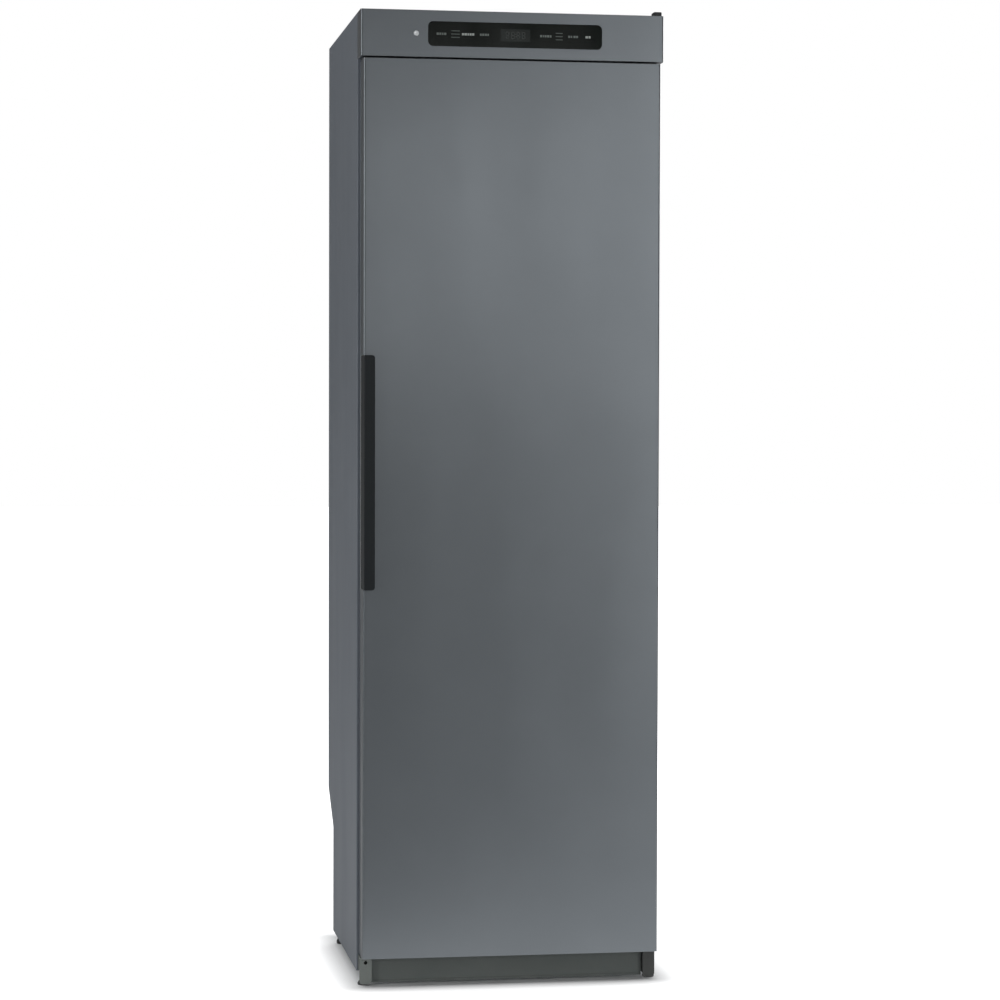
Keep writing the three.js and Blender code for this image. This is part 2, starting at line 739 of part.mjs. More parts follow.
/** One key: a cap level with the window, a collar behind it and a stem to the board. */
function key(x, index) {
  const collarFront = FASCIA_WALL + FIT + WINDOW_FLANGE_DEPTH + FIT;
  const stemEnd = BOARD_SETBACK - KEY.travel - 2 * FIT;
  const cap = prismY(keyOutline(0), [0, collarFront]);
  const collar = prismY(keyOutline(KEY.collar), [collarFront, collarFront + KEY.collar]);
  const stem = rod([0, collarFront, 0], [0, stemEnd, 0], KEY.corner);
  return piece(`key_${index + 1}`, join(cap, collar, stem), "blackGlass", [x, FRONT, PANEL_Z]);
}

function powerButton() {
  const { x, radius, proud, travel, collar } = POWER_BUTTON;
  const collarBack = FASCIA_WALL + FIT + collar;
  const stemEnd = BOARD_SETBACK - travel - 2 * FIT;
  const edge = 0.6;
  const profile = [
    [0, -proud],
    [radius - edge, -proud],
    [radius, -proud + edge],
    [radius, FASCIA_WALL + FIT],
    [radius + collar, FASCIA_WALL + FIT],
    [radius + collar, collarBack],
    [radius / 2, collarBack],
    [radius / 2, stemEnd],
    [0, stemEnd],
  ];
  const body = turned(profile).rotateX(-Math.PI / 2);
  return piece("power_button", body, "silver", [x, FRONT, PANEL_Z]);
}

function displayModule() {
  const { width, height, centre } = DISPLAY;
  const front = FASCIA_WALL + WINDOW_FLANGE_DEPTH + 2 * FIT;
  const body = block([-width / 2, width / 2], [front, BOARD_SETBACK - FIT], [-height / 2, height / 2]);
  return piece("display_module", body, "blackPlastic", [centre, FRONT, PANEL_Z]);
}

function controlBoard() {
  const margin = 12;
  const left = POWER_BUTTON.x - margin;
  const right = WINDOW.centre + WINDOW.width / 2;
  const halfHeight = WINDOW.height / 2 + WINDOW_FLANGE;
  const board = block([left, right], [0, BOARD_THICKNESS], [-halfHeight, halfHeight]);
  return piece("control_board", board, "board", [0, FRONT + BOARD_SETBACK, PANEL_Z]);
}

/** Mains electronics, on top of the chamber. */
function powerModule() {
  const size = { width: 200, depth: 120, height: 38, fin: 4, fins: 6 };
  const body = block([-size.width / 2, size.width / 2], [0, size.depth], [0, size.height]);
  const pitch = size.width / size.fins;
  const grooves = Array.from({ length: size.fins - 1 }, (_, i) => {
    const x = -size.width / 2 + (i + 1) * pitch;
    return block(
      [x - size.fin / 2, x + size.fin / 2],
      [-FIT, size.depth + FIT],
      [size.height - 2 * size.fin, size.height + FIT],
    );
  });
  return piece("power_module", cut(body, ...grooves), "zinc", [0, 0, CHAMBER_CEILING + LINING + FIT]);
}

/** Magnet switch that tells whether the door is shut. */
function doorSwitch() {
  const size = { width: 30, height: 8, inset: 52, below: 5 };
  const seat = FACE - FIT;
  const z = DOOR_TOP - size.below;
  const body = block(
    [-size.width / 2, size.width / 2],
    [-SEAL_SPACE + 2 * FIT, 0],
    [-size.height / 2, size.height / 2],
  );
  return piece("door_switch", body, "blackPlastic", [size.inset - DOOR_HALF, seat, z]);
}

function controls() {
  return group(
    [0, 0, 0],
    controlFascia(),
    controlWindow(),
    ...KEY_CENTRES.map(key),
    powerButton(),
    displayModule(),
    controlBoard(),
    powerModule(),
    doorSwitch(),
  );
}

// ---------------------------------------------------------------- base: plinth, brackets, feet

function plinth() {
  const half = BRACKET_INNER - PLINTH_END_GAP;
  const front = FRONT + PLINTH_SETBACK;
  const profile = bentSheet(
    [
      [FACE - FIT, PLINTH_TOP],
      [front, PLINTH_TOP],
      [front, PLINTH_BOTTOM],
      [front + PLINTH_LIP, PLINTH_BOTTOM],
    ],
    LINING,
  );
  return piece("plinth", prismX(profile, [-half, half]), "darkPlastic");
}

/** Front bracket: it hangs from the cabinet's face, carries a foot, and on one side the door. */
function hingeBracket({ side, label }) {
  const front = FRONT + BRACKET_SETBACK;
  const rear = FACE - FIT;
  const wide = across(side, BRACKET_INNER, BRACKET_OUTER);
  const corners = [BRACKET_CORNER, BRACKET_CORNER, 0, 0];
  const face = prismY(rectangle(wide, [BRACKET_BOTTOM, BRACKET_TOP], corners), [front, front + PLATE]);
  const top = block(wide, [front, rear], [BRACKET_TOP - PLATE, BRACKET_TOP]);
  const flange = block(wide, [rear - PLATE, rear], [TRAY_BOTTOM, BRACKET_TOP]);
  const axis = side * HINGE_X;
  const tongueReach = 2 * HINGE_PIN;
  const tongue = prismZ(
    rectangle(
      across(side, HINGE_X - tongueReach, BRACKET_OUTER),
      [HINGE_Y - tongueReach, front + PLATE],
      [tongueReach, tongueReach, 0, 0],
    ),
    [BRACKET_TOP - PLATE, BRACKET_TOP],
  );
  const body = join(face, top, flange, tongue);
  const hole = { below: 12, radius: 3.5 };
  const holeZ = BRACKET_TOP - hole.below;
  const middle = (wide[0] + wide[1]) / 2;
  if (side < 0) {
    const faceHole = rod([middle, front - PLATE, holeZ], [middle, front + 2 * PLATE, holeZ], hole.radius);
    const spareBore = rod(
      [axis, HINGE_Y, BRACKET_TOP - 2 * PLATE],
      [axis, HINGE_Y, BRACKET_TOP + PLATE],
      HINGE_PIN,
    );
    return piece(`hinge_bracket_${label}`, cut(body, faceHole, spareBore), "zinc");
  }
  const pin = rod(
    [axis, HINGE_Y, BRACKET_TOP - PLATE],
    [axis, HINGE_Y, DOOR_BOTTOM + PIN_LENGTH],
    HINGE_PIN,
    ROUND_SIDES,
  );
  return piece(`hinge_bracket_${label}`, join(body, pin), "zinc");
}

/** A levelling foot: a round pad on a shank that screws into what is above it. */
function foot(name, position, padHeight, height) {
  const { pad, shank } = FOOT;
  const edge = 1;
  const body = turned([
    [0, 0],
    [pad - edge, 0],
    [pad, edge],
    [pad, padHeight - edge],
    [pad - edge, padHeight],
    [shank, padHeight],
    [shank, height],
    [0, height],
  ]);
  return piece(name, body, "blackPlastic", position);
}

function feet() {
  const frontY = FRONT + BRACKET_SETBACK + PLATE + 2 * FIT + FOOT.pad;
  const frontX = (BRACKET_INNER + BRACKET_OUTER) / 2;
  const rearX = HALF - REAR_FOOT_INSET.x;
  const rearY = RECESS_Y - REAR_FOOT_INSET.y;
  return SIDES.flatMap(({ side, label }) => [
    foot(`front_foot_${label}`, [side * frontX, frontY, 0], FOOT.frontPad, BRACKET_TOP - PLATE - FIT),
    foot(`rear_foot_${label}`, [side * rearX, rearY, 0], FOOT.rearPad, TRAY_BOTTOM - FIT),
  ]);
}

/** Upper hinge: a plate in the gap above the door, its pin, and the tab that holds it. */
function upperHinge() {
  const { inner, outer, reach, rise } = UPPER_HINGE;
  const wide = [HINGE_X - inner, HINGE_X + outer];
  const top = FASCIA_BOTTOM - FIT;
  const bottom = DOOR_TOP + FASCIA_GAP / 4;
  const rear = FACE - FIT;
  const plate = prismZ(
    rectangle(wide, [HINGE_Y - reach, rear], [reach / 2, reach / 2, 0, 0]),
    [bottom, top],
  );
  const tab = block(wide, [rear - PLATE, rear], [bottom, FASCIA_BOTTOM + rise]);
  const pin = rod(
    [HINGE_X, HINGE_Y, DOOR_TOP - PIN_LENGTH],
    [HINGE_X, HINGE_Y, top],
    HINGE_PIN,
    ROUND_SIDES,
  );
  return piece("upper_hinge", join(plate, tab, pin), "zinc");
}

/** Small black cover on top of the fascia, above the hinge. */
function hingeCap() {
  const size = { width: 16, depth: 26, height: 9, corner: 3, setback: 12, inset: 1 };
  const cap = prismZ(
    rectangle([-size.width, 0], [0, size.depth], [size.corner]),
    [0, size.height],
  );
  return piece("hinge_cap", cap, "blackPlastic", [HALF - size.inset, FRONT + size.setback, HEIGHT + FIT]);
}

function base() {
  return group([0, 0, 0], plinth(), ...SIDES.map(hingeBracket), ...feet(), upperHinge(), hingeCap());
}

// ---------------------------------------------------------------- machine compartment

function filterRange(grow) {
  const front = FACE + LINING + FILTER_SETBACK;
  return [front - grow, front + FILTER.depth + grow];
}

/** Lint filter: a grille plate over a filter pad, with a ridge to lift it by. */
function lintFilter() {
  const { halfWidth, depth, drop, flange, plate, slots } = FILTER;
  const [front] = filterRange(0);
  const lid = block([-halfWidth - flange, halfWidth + flange], [-flange, depth + flange], [FIT, plate + FIT]);
  const pad = block([-halfWidth, halfWidth], [0, depth], [-drop, plate / 2]);
  const ridge = { halfWidth: 34, thickness: 6, height: 14 };
  const grip = block(
    [-ridge.halfWidth, ridge.halfWidth],
    [(depth - ridge.thickness) / 2, (depth + ridge.thickness) / 2],
    [0, ridge.height],
  );
  const margin = 10;
  const pitch = (2 * halfWidth) / slots;
  const grooves = [];
  for (let i = 0; i < slots; i++) {
    const x = -halfWidth + (i + 1 / 2) * pitch;
    if (Math.abs(x) < ridge.halfWidth + pitch / 2) continue;
    grooves.push(block([x - pitch / 4, x + pitch / 4], [margin, depth - margin], [plate / 2, 2 * plate]));
  }
  const body = cut(join(lid, pad, grip), ...grooves);
  return piece("lint_filter", body, "blackPlastic", [0, front, CHAMBER_FLOOR]);
}

/** A finned heat exchanger standing on the drip tray. */
function coil(name, index) {
  const half = DRIP_TRAY.halfWidth - FIT;
  const y = COIL_FRONT + index * (COIL.depth + COIL_SPACING);
  const body = block([-half, half], [0, COIL.depth], [0, COIL.height]);
  const pitch = (2 * half) / COIL.gaps;
  const gaps = Array.from({ length: COIL.gaps }, (_, i) => {
    const x = -half + (i + 1 / 2) * pitch;
    return block(
      [x - COIL.gapWidth / 2, x + COIL.gapWidth / 2],
      [-FIT, COIL.depth + FIT],
      [COIL.header, COIL.height - COIL.header],
    );
  });
  const z = TRAY_TOP + FIT + DRIP_TRAY.height + FIT;
  return piece(name, cut(body, ...gaps), "zinc", [0, y, z]);
}

/** Shallow tray under both heat exchangers that catches the condensate. */
function dripTray() {
  const { halfWidth, height, wall } = DRIP_TRAY;
  const length = COIL_REAR - COIL_FRONT;
  const outer = block([-halfWidth, halfWidth], [0, length], [0, height]);
  const inner = block([-halfWidth + wall, halfWidth - wall], [wall, length - wall], [wall, height + wall]);
  return piece("drip_tray", cut(outer, inner), "blackPlastic", [0, COIL_FRONT, TRAY_TOP + FIT]);
}

/** Hermetic compressor: a domed can on a foot plate. */
function compressor() {
  const { x, radius, height, plate } = COMPRESSOR;
  const domeHeight = 40;
  const shoulder = height - domeHeight;
  const profile = [
    [0, 0],
    [radius - domeHeight / 2, 0],
    [radius, domeHeight / 2],
    [radius, shoulder],
  ];
  const domeSteps = 4;
  for (let i = 1; i <= domeSteps; i++) {
    const angle = (i / domeSteps) * (Math.PI / 2);
    profile.push([radius - domeHeight * (1 - Math.cos(angle)), shoulder + domeHeight * Math.sin(angle)]);
  }
  profile.push([0, height]);
  const can = turned(profile).translate(0, 0, plate / 2);
  const footHalf = radius - plate;
  const feetPlate = block([-footHalf, footHalf], [-footHalf, footHalf], [0, plate]);
  return piece("compressor", join(can, feetPlate), "compressorPaint", [x, COMPRESSOR_Y, TRAY_TOP + FIT]);
}

/** Pipe from the top of the evaporator, over the condenser, down to the compressor's top. */
function suctionPipe() {
  const x = COMPRESSOR.x + SUCTION.offset;
  const coilTop = TRAY_TOP + 2 * FIT + DRIP_TRAY.height + COIL.height;
  const start = COIL_FRONT + COIL.depth / 2;
  const over = coilTop + SUCTION.rise;
  const end = TRAY_TOP + FIT + COMPRESSOR.height + COMPRESSOR.plate / 2;
  const route = [
    [x, start, coilTop + FIT],
    [x, start, over],
    [x, COMPRESSOR_Y, over],
    [x, COMPRESSOR_Y, end + FIT],
  ];
  return piece("suction_pipe", pipe(route, PIPE), "copper");
}

/** Pipe from the front of the compressor to the back of the condenser. */
function dischargePipe() {
  const x = COMPRESSOR.x;
  const startY = COMPRESSOR_Y - COMPRESSOR.radius - FIT;
  const endY = COIL_REAR + FIT;
  const startZ = TRAY_TOP + DISCHARGE.height;
  const endZ = startZ + DISCHARGE.rise;
  const middle = (startY + endY) / 2;
  const route = [
    [x, startY, startZ],
    [x, middle, startZ],
    [x, middle, endZ],
    [x, endY, endZ],
  ];
  return piece("discharge_pipe", pipe(route, { ...PIPE, bend: DISCHARGE.bend }), "copper");
}

/** Fan scroll with its inlet on the left, its outlet at the top and legs to the chassis. */
function fanHousing() {
  const { x, z, width, scroll, wheel, wall } = FAN;
  const gapAbove = 14;
  const top = CHAMBER_FLOOR - LINING - gapAbove - z;
  const shape = (inset) => {
    const outline = new THREE.Shape();
    const radius = scroll - inset;
    outline.absarc(0, 0, radius, Math.PI, 2 * Math.PI);
    outline.lineTo(radius, top + (inset ? wall : 0));
    outline.lineTo(0, top + (inset ? wall : 0));
    outline.lineTo(-inset, radius);
    outline.absarc(0, 0, radius, Math.PI / 2, Math.PI);
    return outline;
  };
  const outer = prismX(shape(0), [0, width]);
  const inner = prismX(shape(wall), [wall, width - wall]);
  const inletRim = 14;
  const shaftGap = 1;
  const inlet = rod([-wall, 0, 0], [2 * wall, 0, 0], wheel - inletRim, ROUND_SIDES);
  const shaftHole = rod([width - 2 * wall, 0, 0], [width + wall, 0, 0], MOTOR.shaft + shaftGap);
  const leg = { inset: 14, halfWidth: 10 };
  const legs = [leg.inset, width - leg.inset].map((at) =>
    block(
      [at - leg.halfWidth, at + leg.halfWidth],
      [-scroll / 2, scroll / 2],
      [TRAY_TOP + FIT - z, -scroll / 2],
    ),
  );
  const hollow = join(inner, inlet, shaftHole);
  return piece("fan_housing", cut(join(outer, ...legs), hollow), "blackPlastic", [x, FAN_Y, z]);
}

/** Fan wheel on its shaft: a back plate, a ring of blades and a front ring. */
function fanWheel() {
  const { x, z, width, wheel, blades, wall } = FAN;
  const plate = 3;
  const clearance = 6;
  const right = width - wall - clearance;
  const left = wall + clearance;
  const blade = { depth: 12, thickness: 2 };
  const disc = rod([right - plate, 0, 0], [right, 0, 0], wheel, ROUND_SIDES);
  const ring = cut(
    rod([left, 0, 0], [left + plate, 0, 0], wheel, ROUND_SIDES),
    rod([left - plate, 0, 0], [left + 2 * plate, 0, 0], wheel - blade.depth, ROUND_SIDES),
  );
  const vanes = Array.from({ length: blades }, (_, i) =>
    block(
      [left + plate / 2, right - plate / 2],
      [-blade.thickness / 2, blade.thickness / 2],
      [wheel - blade.depth, wheel - blade.thickness],
    ).rotateX((2 * Math.PI * i) / blades),
  );
  const shaft = rod([right - plate, 0, 0], [width + FIT + MOTOR.length / 2, 0, 0], MOTOR.shaft);
  return piece("fan_wheel", join(disc, ring, ...vanes, shaft), "darkPlastic", [x, FAN_Y, z]);
}

/** Fan motor on the right of the scroll, bored for the shaft. */
function fanMotor() {
  const { x, z, width } = FAN;
  const { radius, length, shaft } = MOTOR;
  const flange = 5;
  const body = rod([0, 0, 0], [length, 0, 0], radius, ROUND_SIDES);
  const plate = block([0, flange], [-radius - flange, radius + flange], [-radius - flange, radius + flange]);
  const bore = rod([-flange, 0, 0], [length / 2 + flange, 0, 0], shaft + FIT);
  return piece("fan_motor", cut(join(body, plate), bore), "zinc", [x + width + FIT, FAN_Y, z]);
}

/** Gland where the mains lead enters through the recess panel. */
function mainsInlet() {
  const { x, z, neck, flange, length } = INLET;
  const bore = 4;
  const edge = 1;
  const profile = [
    [0, -length],
    [neck, -length],
    [neck, FIT],
    [flange, FIT],
    [flange, length / 3],
    [neck, length / 2],
    [bore + edge, length / 2],
    [bore, length / 2 - edge],
    [bore, -length / 2],
    [0, -length / 2],
  ];
  const body = turned(profile).rotateX(-Math.PI / 2);
  return piece("mains_inlet", body, "blackPlastic", [x, RECESS_Y, z]);
}

function machine() {
  return group(
    [0, 0, 0],
    lintFilter(),
    coil("evaporator", 0),
    coil("condenser", 1),
    dripTray(),
    compressor(),
    suctionPipe(),
    dischargePipe(),
    fanHousing(),
    fanWheel(),
    fanMotor(),
    mainsInlet(),
  );
}

// ---------------------------------------------------------------- door, drawn about its hinge axis

/** The space in the door's left edge that the handle's leg fills. */
function handlePocket(grow) {
  return block(
    [EDGE_LEFT - HANDLE_LEG, EDGE_LEFT + HANDLE_LEG + grow],
    [DOOR_FRONT - HANDLE_LEG, DOOR_FRONT + HANDLE_LEG_DEPTH + grow],
    [HANDLE_BOTTOM - grow, HANDLE_BOTTOM + HANDLE_LENGTH + grow],
  );
}

/** Outer skin: one sheet folded round the front and both edges. */
function doorSkin() {
  const height = [DOOR_BOTTOM, DOOR_TOP];
  const corners = [DOOR_CORNER, DOOR_CORNER, 0, 0];
  const outer = prismZ(
    rectangle([EDGE_LEFT, EDGE_RIGHT], [DOOR_FRONT, LINER_FRONT - FIT], corners),
    height,
  );
  const innerCorners = [DOOR_CORNER - DOOR_SHEET, DOOR_CORNER - DOOR_SHEET, 0, 0];
  const inner = prismZ(
    rectangle(
      [EDGE_LEFT + DOOR_SHEET, EDGE_RIGHT - DOOR_SHEET],
      [DOOR_FRONT + DOOR_SHEET, LINER_FRONT + DOOR_SHEET],
      innerCorners,
    ),
    [DOOR_BOTTOM - DOOR_SHEET, DOOR_TOP + DOOR_SHEET],
  );
  return piece("door_skin", cut(outer, inner, handlePocket(FIT)), "anthracite");
}

/** The outline, seen from above, of what fills the skin at a distance from its outer face. */
function insideSkin(wall) {
  const corner = DOOR_CORNER - wall;
  const depth = [DOOR_FRONT + wall, LINER_FRONT - FIT];
  return rectangle([EDGE_LEFT + wall, EDGE_RIGHT - wall], depth, [corner, corner, 0, 0]);
}

/** The raised field of the lining, or the foam inside it when inset. */
function dyke(inset, front) {
  const half = HALF - FRONT_RETURN - DYKE_CLEARANCE - inset;
  const edge = DYKE_CLEARANCE + inset;
  return block(
    [-half - HINGE_X, half - HINGE_X],
    [front, DOOR_REAR + DYKE_RISE - inset],
    [CHAMBER_FLOOR + edge, CHAMBER_CEILING - edge],
  );
}

/** Inner lining: a tray with a raised field that stands into the chamber opening. */
function doorLiner() {
  const rim = block([EDGE_LEFT, EDGE_RIGHT], [LINER_FRONT, DOOR_REAR], [DOOR_BOTTOM, DOOR_TOP]);
  const outer = join(rim, dyke(0, LINER_FRONT));
  const rimHollow = block(
    [EDGE_LEFT + LINER_WALL, EDGE_RIGHT - LINER_WALL],
    [LINER_FRONT - LINER_WALL, DOOR_REAR - LINER_WALL],
    [DOOR_BOTTOM + LINER_WALL, DOOR_TOP - LINER_WALL],
  );
  const dykeHollow = dyke(LINER_WALL, LINER_FRONT - LINER_WALL);
  return piece("door_liner", cut(outer, rimHollow, dykeHollow), "lining");
}

/** Foam core that fills the door between its skin and its lining. */
function doorCore() {
  const wall = DOOR_SHEET + FIT;
  const lining = LINER_WALL + FIT;
  const height = [DOOR_BOTTOM + DOOR_CAP + FIT, DOOR_TOP - DOOR_CAP - FIT];
  const slab = prismZ(insideSkin(wall), height);
  const rim = block(
    [EDGE_LEFT + lining, EDGE_RIGHT - lining],
    [LINER_FRONT - 2 * FIT, DOOR_REAR - lining],
    height,
  );
  const body = join(slab, rim, dyke(lining, LINER_FRONT));
  return piece("door_core", cut(body, handlePocket(2 * FIT)), "foam");
}

/** End cap inside the top or bottom of the skin, bored for the hinge pin. */
function doorCap(name, z0, z1) {
  const cap = prismZ(insideSkin(DOOR_SHEET + FIT), [z0, z1]);
  const bore = rod([0, 0, z0 - DOOR_CAP], [0, 0, z1 + DOOR_CAP], HINGE_PIN + PIN_CLEARANCE, ROUND_SIDES);
  return piece(name, cut(cap, bore), "blackPlastic");
}

/** Magnetic seal round the lining's raised field. */
function doorGasket() {
  const outerX = [EDGE_LEFT + SEAL_INSET, EDGE_RIGHT - SEAL_INSET];
  const outerZ = [DOOR_BOTTOM + SEAL_BOTTOM_INSET, DOOR_TOP - SEAL_TOP_INSET];
  const corner = 6;
  const depth = [DOOR_REAR + FIT, DOOR_REAR + SEAL_SPACE - FIT];
  const ring = rectangle(outerX, outerZ, [corner]);
  const inside = rectangle(
    [outerX[0] + SEAL_WIDTH, outerX[1] - SEAL_WIDTH],
    [outerZ[0] + SEAL_WIDTH, outerZ[1] - SEAL_WIDTH],
    [corner / 2],
  );
  const through = [depth[0] - FIT, depth[1] + FIT];
  return piece("door_gasket", cut(prismY(ring, depth), prismY(inside, through)), "rubber");
}

/** Handle: a plate in front of the door with a finger channel behind it, on a leg in the door's edge. */
function doorHandle() {
  const top = HANDLE_BOTTOM + HANDLE_LENGTH;
  const left = EDGE_LEFT;
  const right = EDGE_LEFT + HANDLE_WIDTH;
  const front = DOOR_FRONT - HANDLE_PROUD;
  const back = DOOR_FRONT - FIT;
  const section = prismZ(
    rectangle([left, right], [front, back], [HANDLE_EDGE, HANDLE_EDGE, 0, 0]),
    [HANDLE_BOTTOM, top],
  );
  const outline = prismY(
    rectangle([left, right], [HANDLE_BOTTOM, top], [0, HANDLE_CORNER, HANDLE_CORNER, 0]),
    [front, back],
  );
  const channelFront = front + HANDLE_PLATE;
  const channelHeight = [HANDLE_BOTTOM + HANDLE_END, top - HANDLE_END];
  const mouth = [channelFront + HANDLE_LIP, back + FIT];
  const channel = block([left + HANDLE_LEG, right + FIT], mouth, channelHeight);
  const hooked = [channelFront, back + FIT];
  const undercut = block([left + HANDLE_LEG, right - HANDLE_LIP], hooked, channelHeight);
  const grip = cut(overlap(section, outline), channel, undercut);
  const leg = block(
    [left, left + HANDLE_LEG],
    [back - FIT, DOOR_FRONT + HANDLE_LEG_DEPTH],
    [HANDLE_BOTTOM, top],
  );
  return piece("door_handle", join(grip, leg), "blackPlastic");
}

function door() {
  return group(
    [HINGE_X, HINGE_Y, 0],
    doorSkin(),
    doorLiner(),
    doorCore(),
    doorCap("door_top_cap", DOOR_TOP - DOOR_CAP, DOOR_TOP),
    doorCap("door_bottom_cap", DOOR_BOTTOM, DOOR_BOTTOM + DOOR_CAP),
    doorGasket(),
    doorHandle(),
  );
}

// ---------------------------------------------------------------- the whole cabinet

const cabinet = group(
  [0, 0, 0],
  casing(),
  chamber(),
  racks(),
  controls(),
  base(),
  machine(),
  door(),
);

export default cabinet;
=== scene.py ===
"""Looks of a tall drying cabinet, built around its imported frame.

Metres. +X is to the right when facing the door, +Y points to the back and +Z up.
"""

import json
import logging
import math
from collections.abc import Callable, Sequence
from dataclasses import dataclass, replace
from enum import Enum
from functools import cache
from itertools import product
from typing import NamedTuple

import bmesh
import bpy
from mathutils import Matrix, Vector

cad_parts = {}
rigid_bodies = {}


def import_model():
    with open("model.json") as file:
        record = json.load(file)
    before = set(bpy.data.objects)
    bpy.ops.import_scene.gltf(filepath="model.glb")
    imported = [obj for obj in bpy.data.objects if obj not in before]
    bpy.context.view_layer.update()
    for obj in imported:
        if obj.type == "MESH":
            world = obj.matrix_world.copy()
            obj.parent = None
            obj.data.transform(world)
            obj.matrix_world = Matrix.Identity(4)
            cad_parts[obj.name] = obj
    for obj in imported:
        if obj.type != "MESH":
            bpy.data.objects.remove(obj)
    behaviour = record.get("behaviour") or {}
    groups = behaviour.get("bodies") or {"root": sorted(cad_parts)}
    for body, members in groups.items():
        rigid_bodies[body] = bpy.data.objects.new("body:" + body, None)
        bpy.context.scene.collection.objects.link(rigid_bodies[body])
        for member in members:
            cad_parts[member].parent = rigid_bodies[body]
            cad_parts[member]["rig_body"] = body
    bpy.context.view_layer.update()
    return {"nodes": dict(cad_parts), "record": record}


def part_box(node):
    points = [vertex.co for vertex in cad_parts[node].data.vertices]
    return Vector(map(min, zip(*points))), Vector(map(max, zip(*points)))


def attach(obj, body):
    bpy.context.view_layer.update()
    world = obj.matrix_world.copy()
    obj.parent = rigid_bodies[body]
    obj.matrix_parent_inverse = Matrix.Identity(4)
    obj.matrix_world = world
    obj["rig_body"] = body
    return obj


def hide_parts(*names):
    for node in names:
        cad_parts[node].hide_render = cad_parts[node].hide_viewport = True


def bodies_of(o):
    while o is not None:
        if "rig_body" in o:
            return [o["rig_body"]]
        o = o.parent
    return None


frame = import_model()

LOG = logging.getLogger("drying_cabinet")
MM = 0.001

Point = tuple[float, float, float]
Colour = tuple[int, int, int]
Place = Sequence[float]
PointTest = Callable[[Vector], bool]
Socket = bpy.types.NodeSocket
Limits = tuple[Socket | float, Socket | float]
FULL = (0.0, 1.0)

# ---------------- shapes

SHARP_ANGLE = math.radians(40)
EDGE_ANGLE = math.radians(25)
FLAT_ANGLE = math.radians(0.5)
MERGE_DISTANCE = 1e-6
ROUND_SIDES = 48
CORNER_STEPS = 8
THIN = 4 * MM
MOSTLY = 0.5
BEND_STEPS = 6


class Axis(Enum):
    """The direction that a flat outline is drawn out along, and how its plane is turned to it."""

    X = ((0, 0, 1), (1, 0, 0), (0, 1, 0))
    Y = ((1, 0, 0), (0, 0, -1), (0, 1, 0))
    Z = ((1, 0, 0), (0, 1, 0), (0, 0, 1))

    @property
    def turn(self) -> Matrix:
        """The matrix from the outline's plane to the frame."""
        return Matrix(self.value).to_4x4()

    @property
    def along(self) -> Vector:
        """The axis as a direction."""
        return Vector([float(self is axis) for axis in Axis])


class Outline(NamedTuple):
    """A rectangle with round corners, or a circle where its radius is half of both sides."""

    u: float
    v: float
    width: float
    height: float
    radius: float = 0.0

    @classmethod
    def between(cls, low: tuple[float, float], high: tuple[float, float], radius: float = 0.0) -> "Outline":
        """An outline between two corners."""
        centre = [(a + b) / 2 for a, b in zip(low, high)]
        return cls(*centre, high[0] - low[0], high[1] - low[1], radius)

    @classmethod
    def circle(cls, u: float, v: float, radius: float) -> "Outline":
        """A circle about a point."""
        return cls(u, v, 2 * radius, 2 * radius, radius)

    def trace(self, mesh: bmesh.types.BMesh) -> None:
        """Leaves the outline in a mesh as a closed loop of edges.

        Args:
            mesh: The mesh under construction.
        """
        place = Matrix.Translation((self.u, self.v, 0))
        if self.radius and 2 * self.radius >= max(self.width, self.height) - MERGE_DISTANCE:
            bmesh.ops.create_circle(mesh, segments=ROUND_SIDES, radius=self.radius, matrix=place)
            return
        place = place @ Matrix.Diagonal((self.width, self.height, 1, 1))
        made = bmesh.ops.create_grid(mesh, x_segments=1, y_segments=1, size=0.5, matrix=place)
        if self.radius:
            bmesh.ops.bevel(
                mesh, geom=made["verts"], offset=self.radius, offset_type="OFFSET", segments=CORNER_STEPS,
                profile=0.5, affect="VERTICES", material=-1, clamp_overlap=True,
            )
        bmesh.ops.delete(mesh, geom=mesh.faces[:], context="FACES_ONLY")


def turn_to(direction: Place, front: str = "Z") -> Matrix:
    """The matrix that turns an upright piece to a direction."""
    return Vector(direction).to_track_quat(front, "Y").to_matrix().to_4x4()


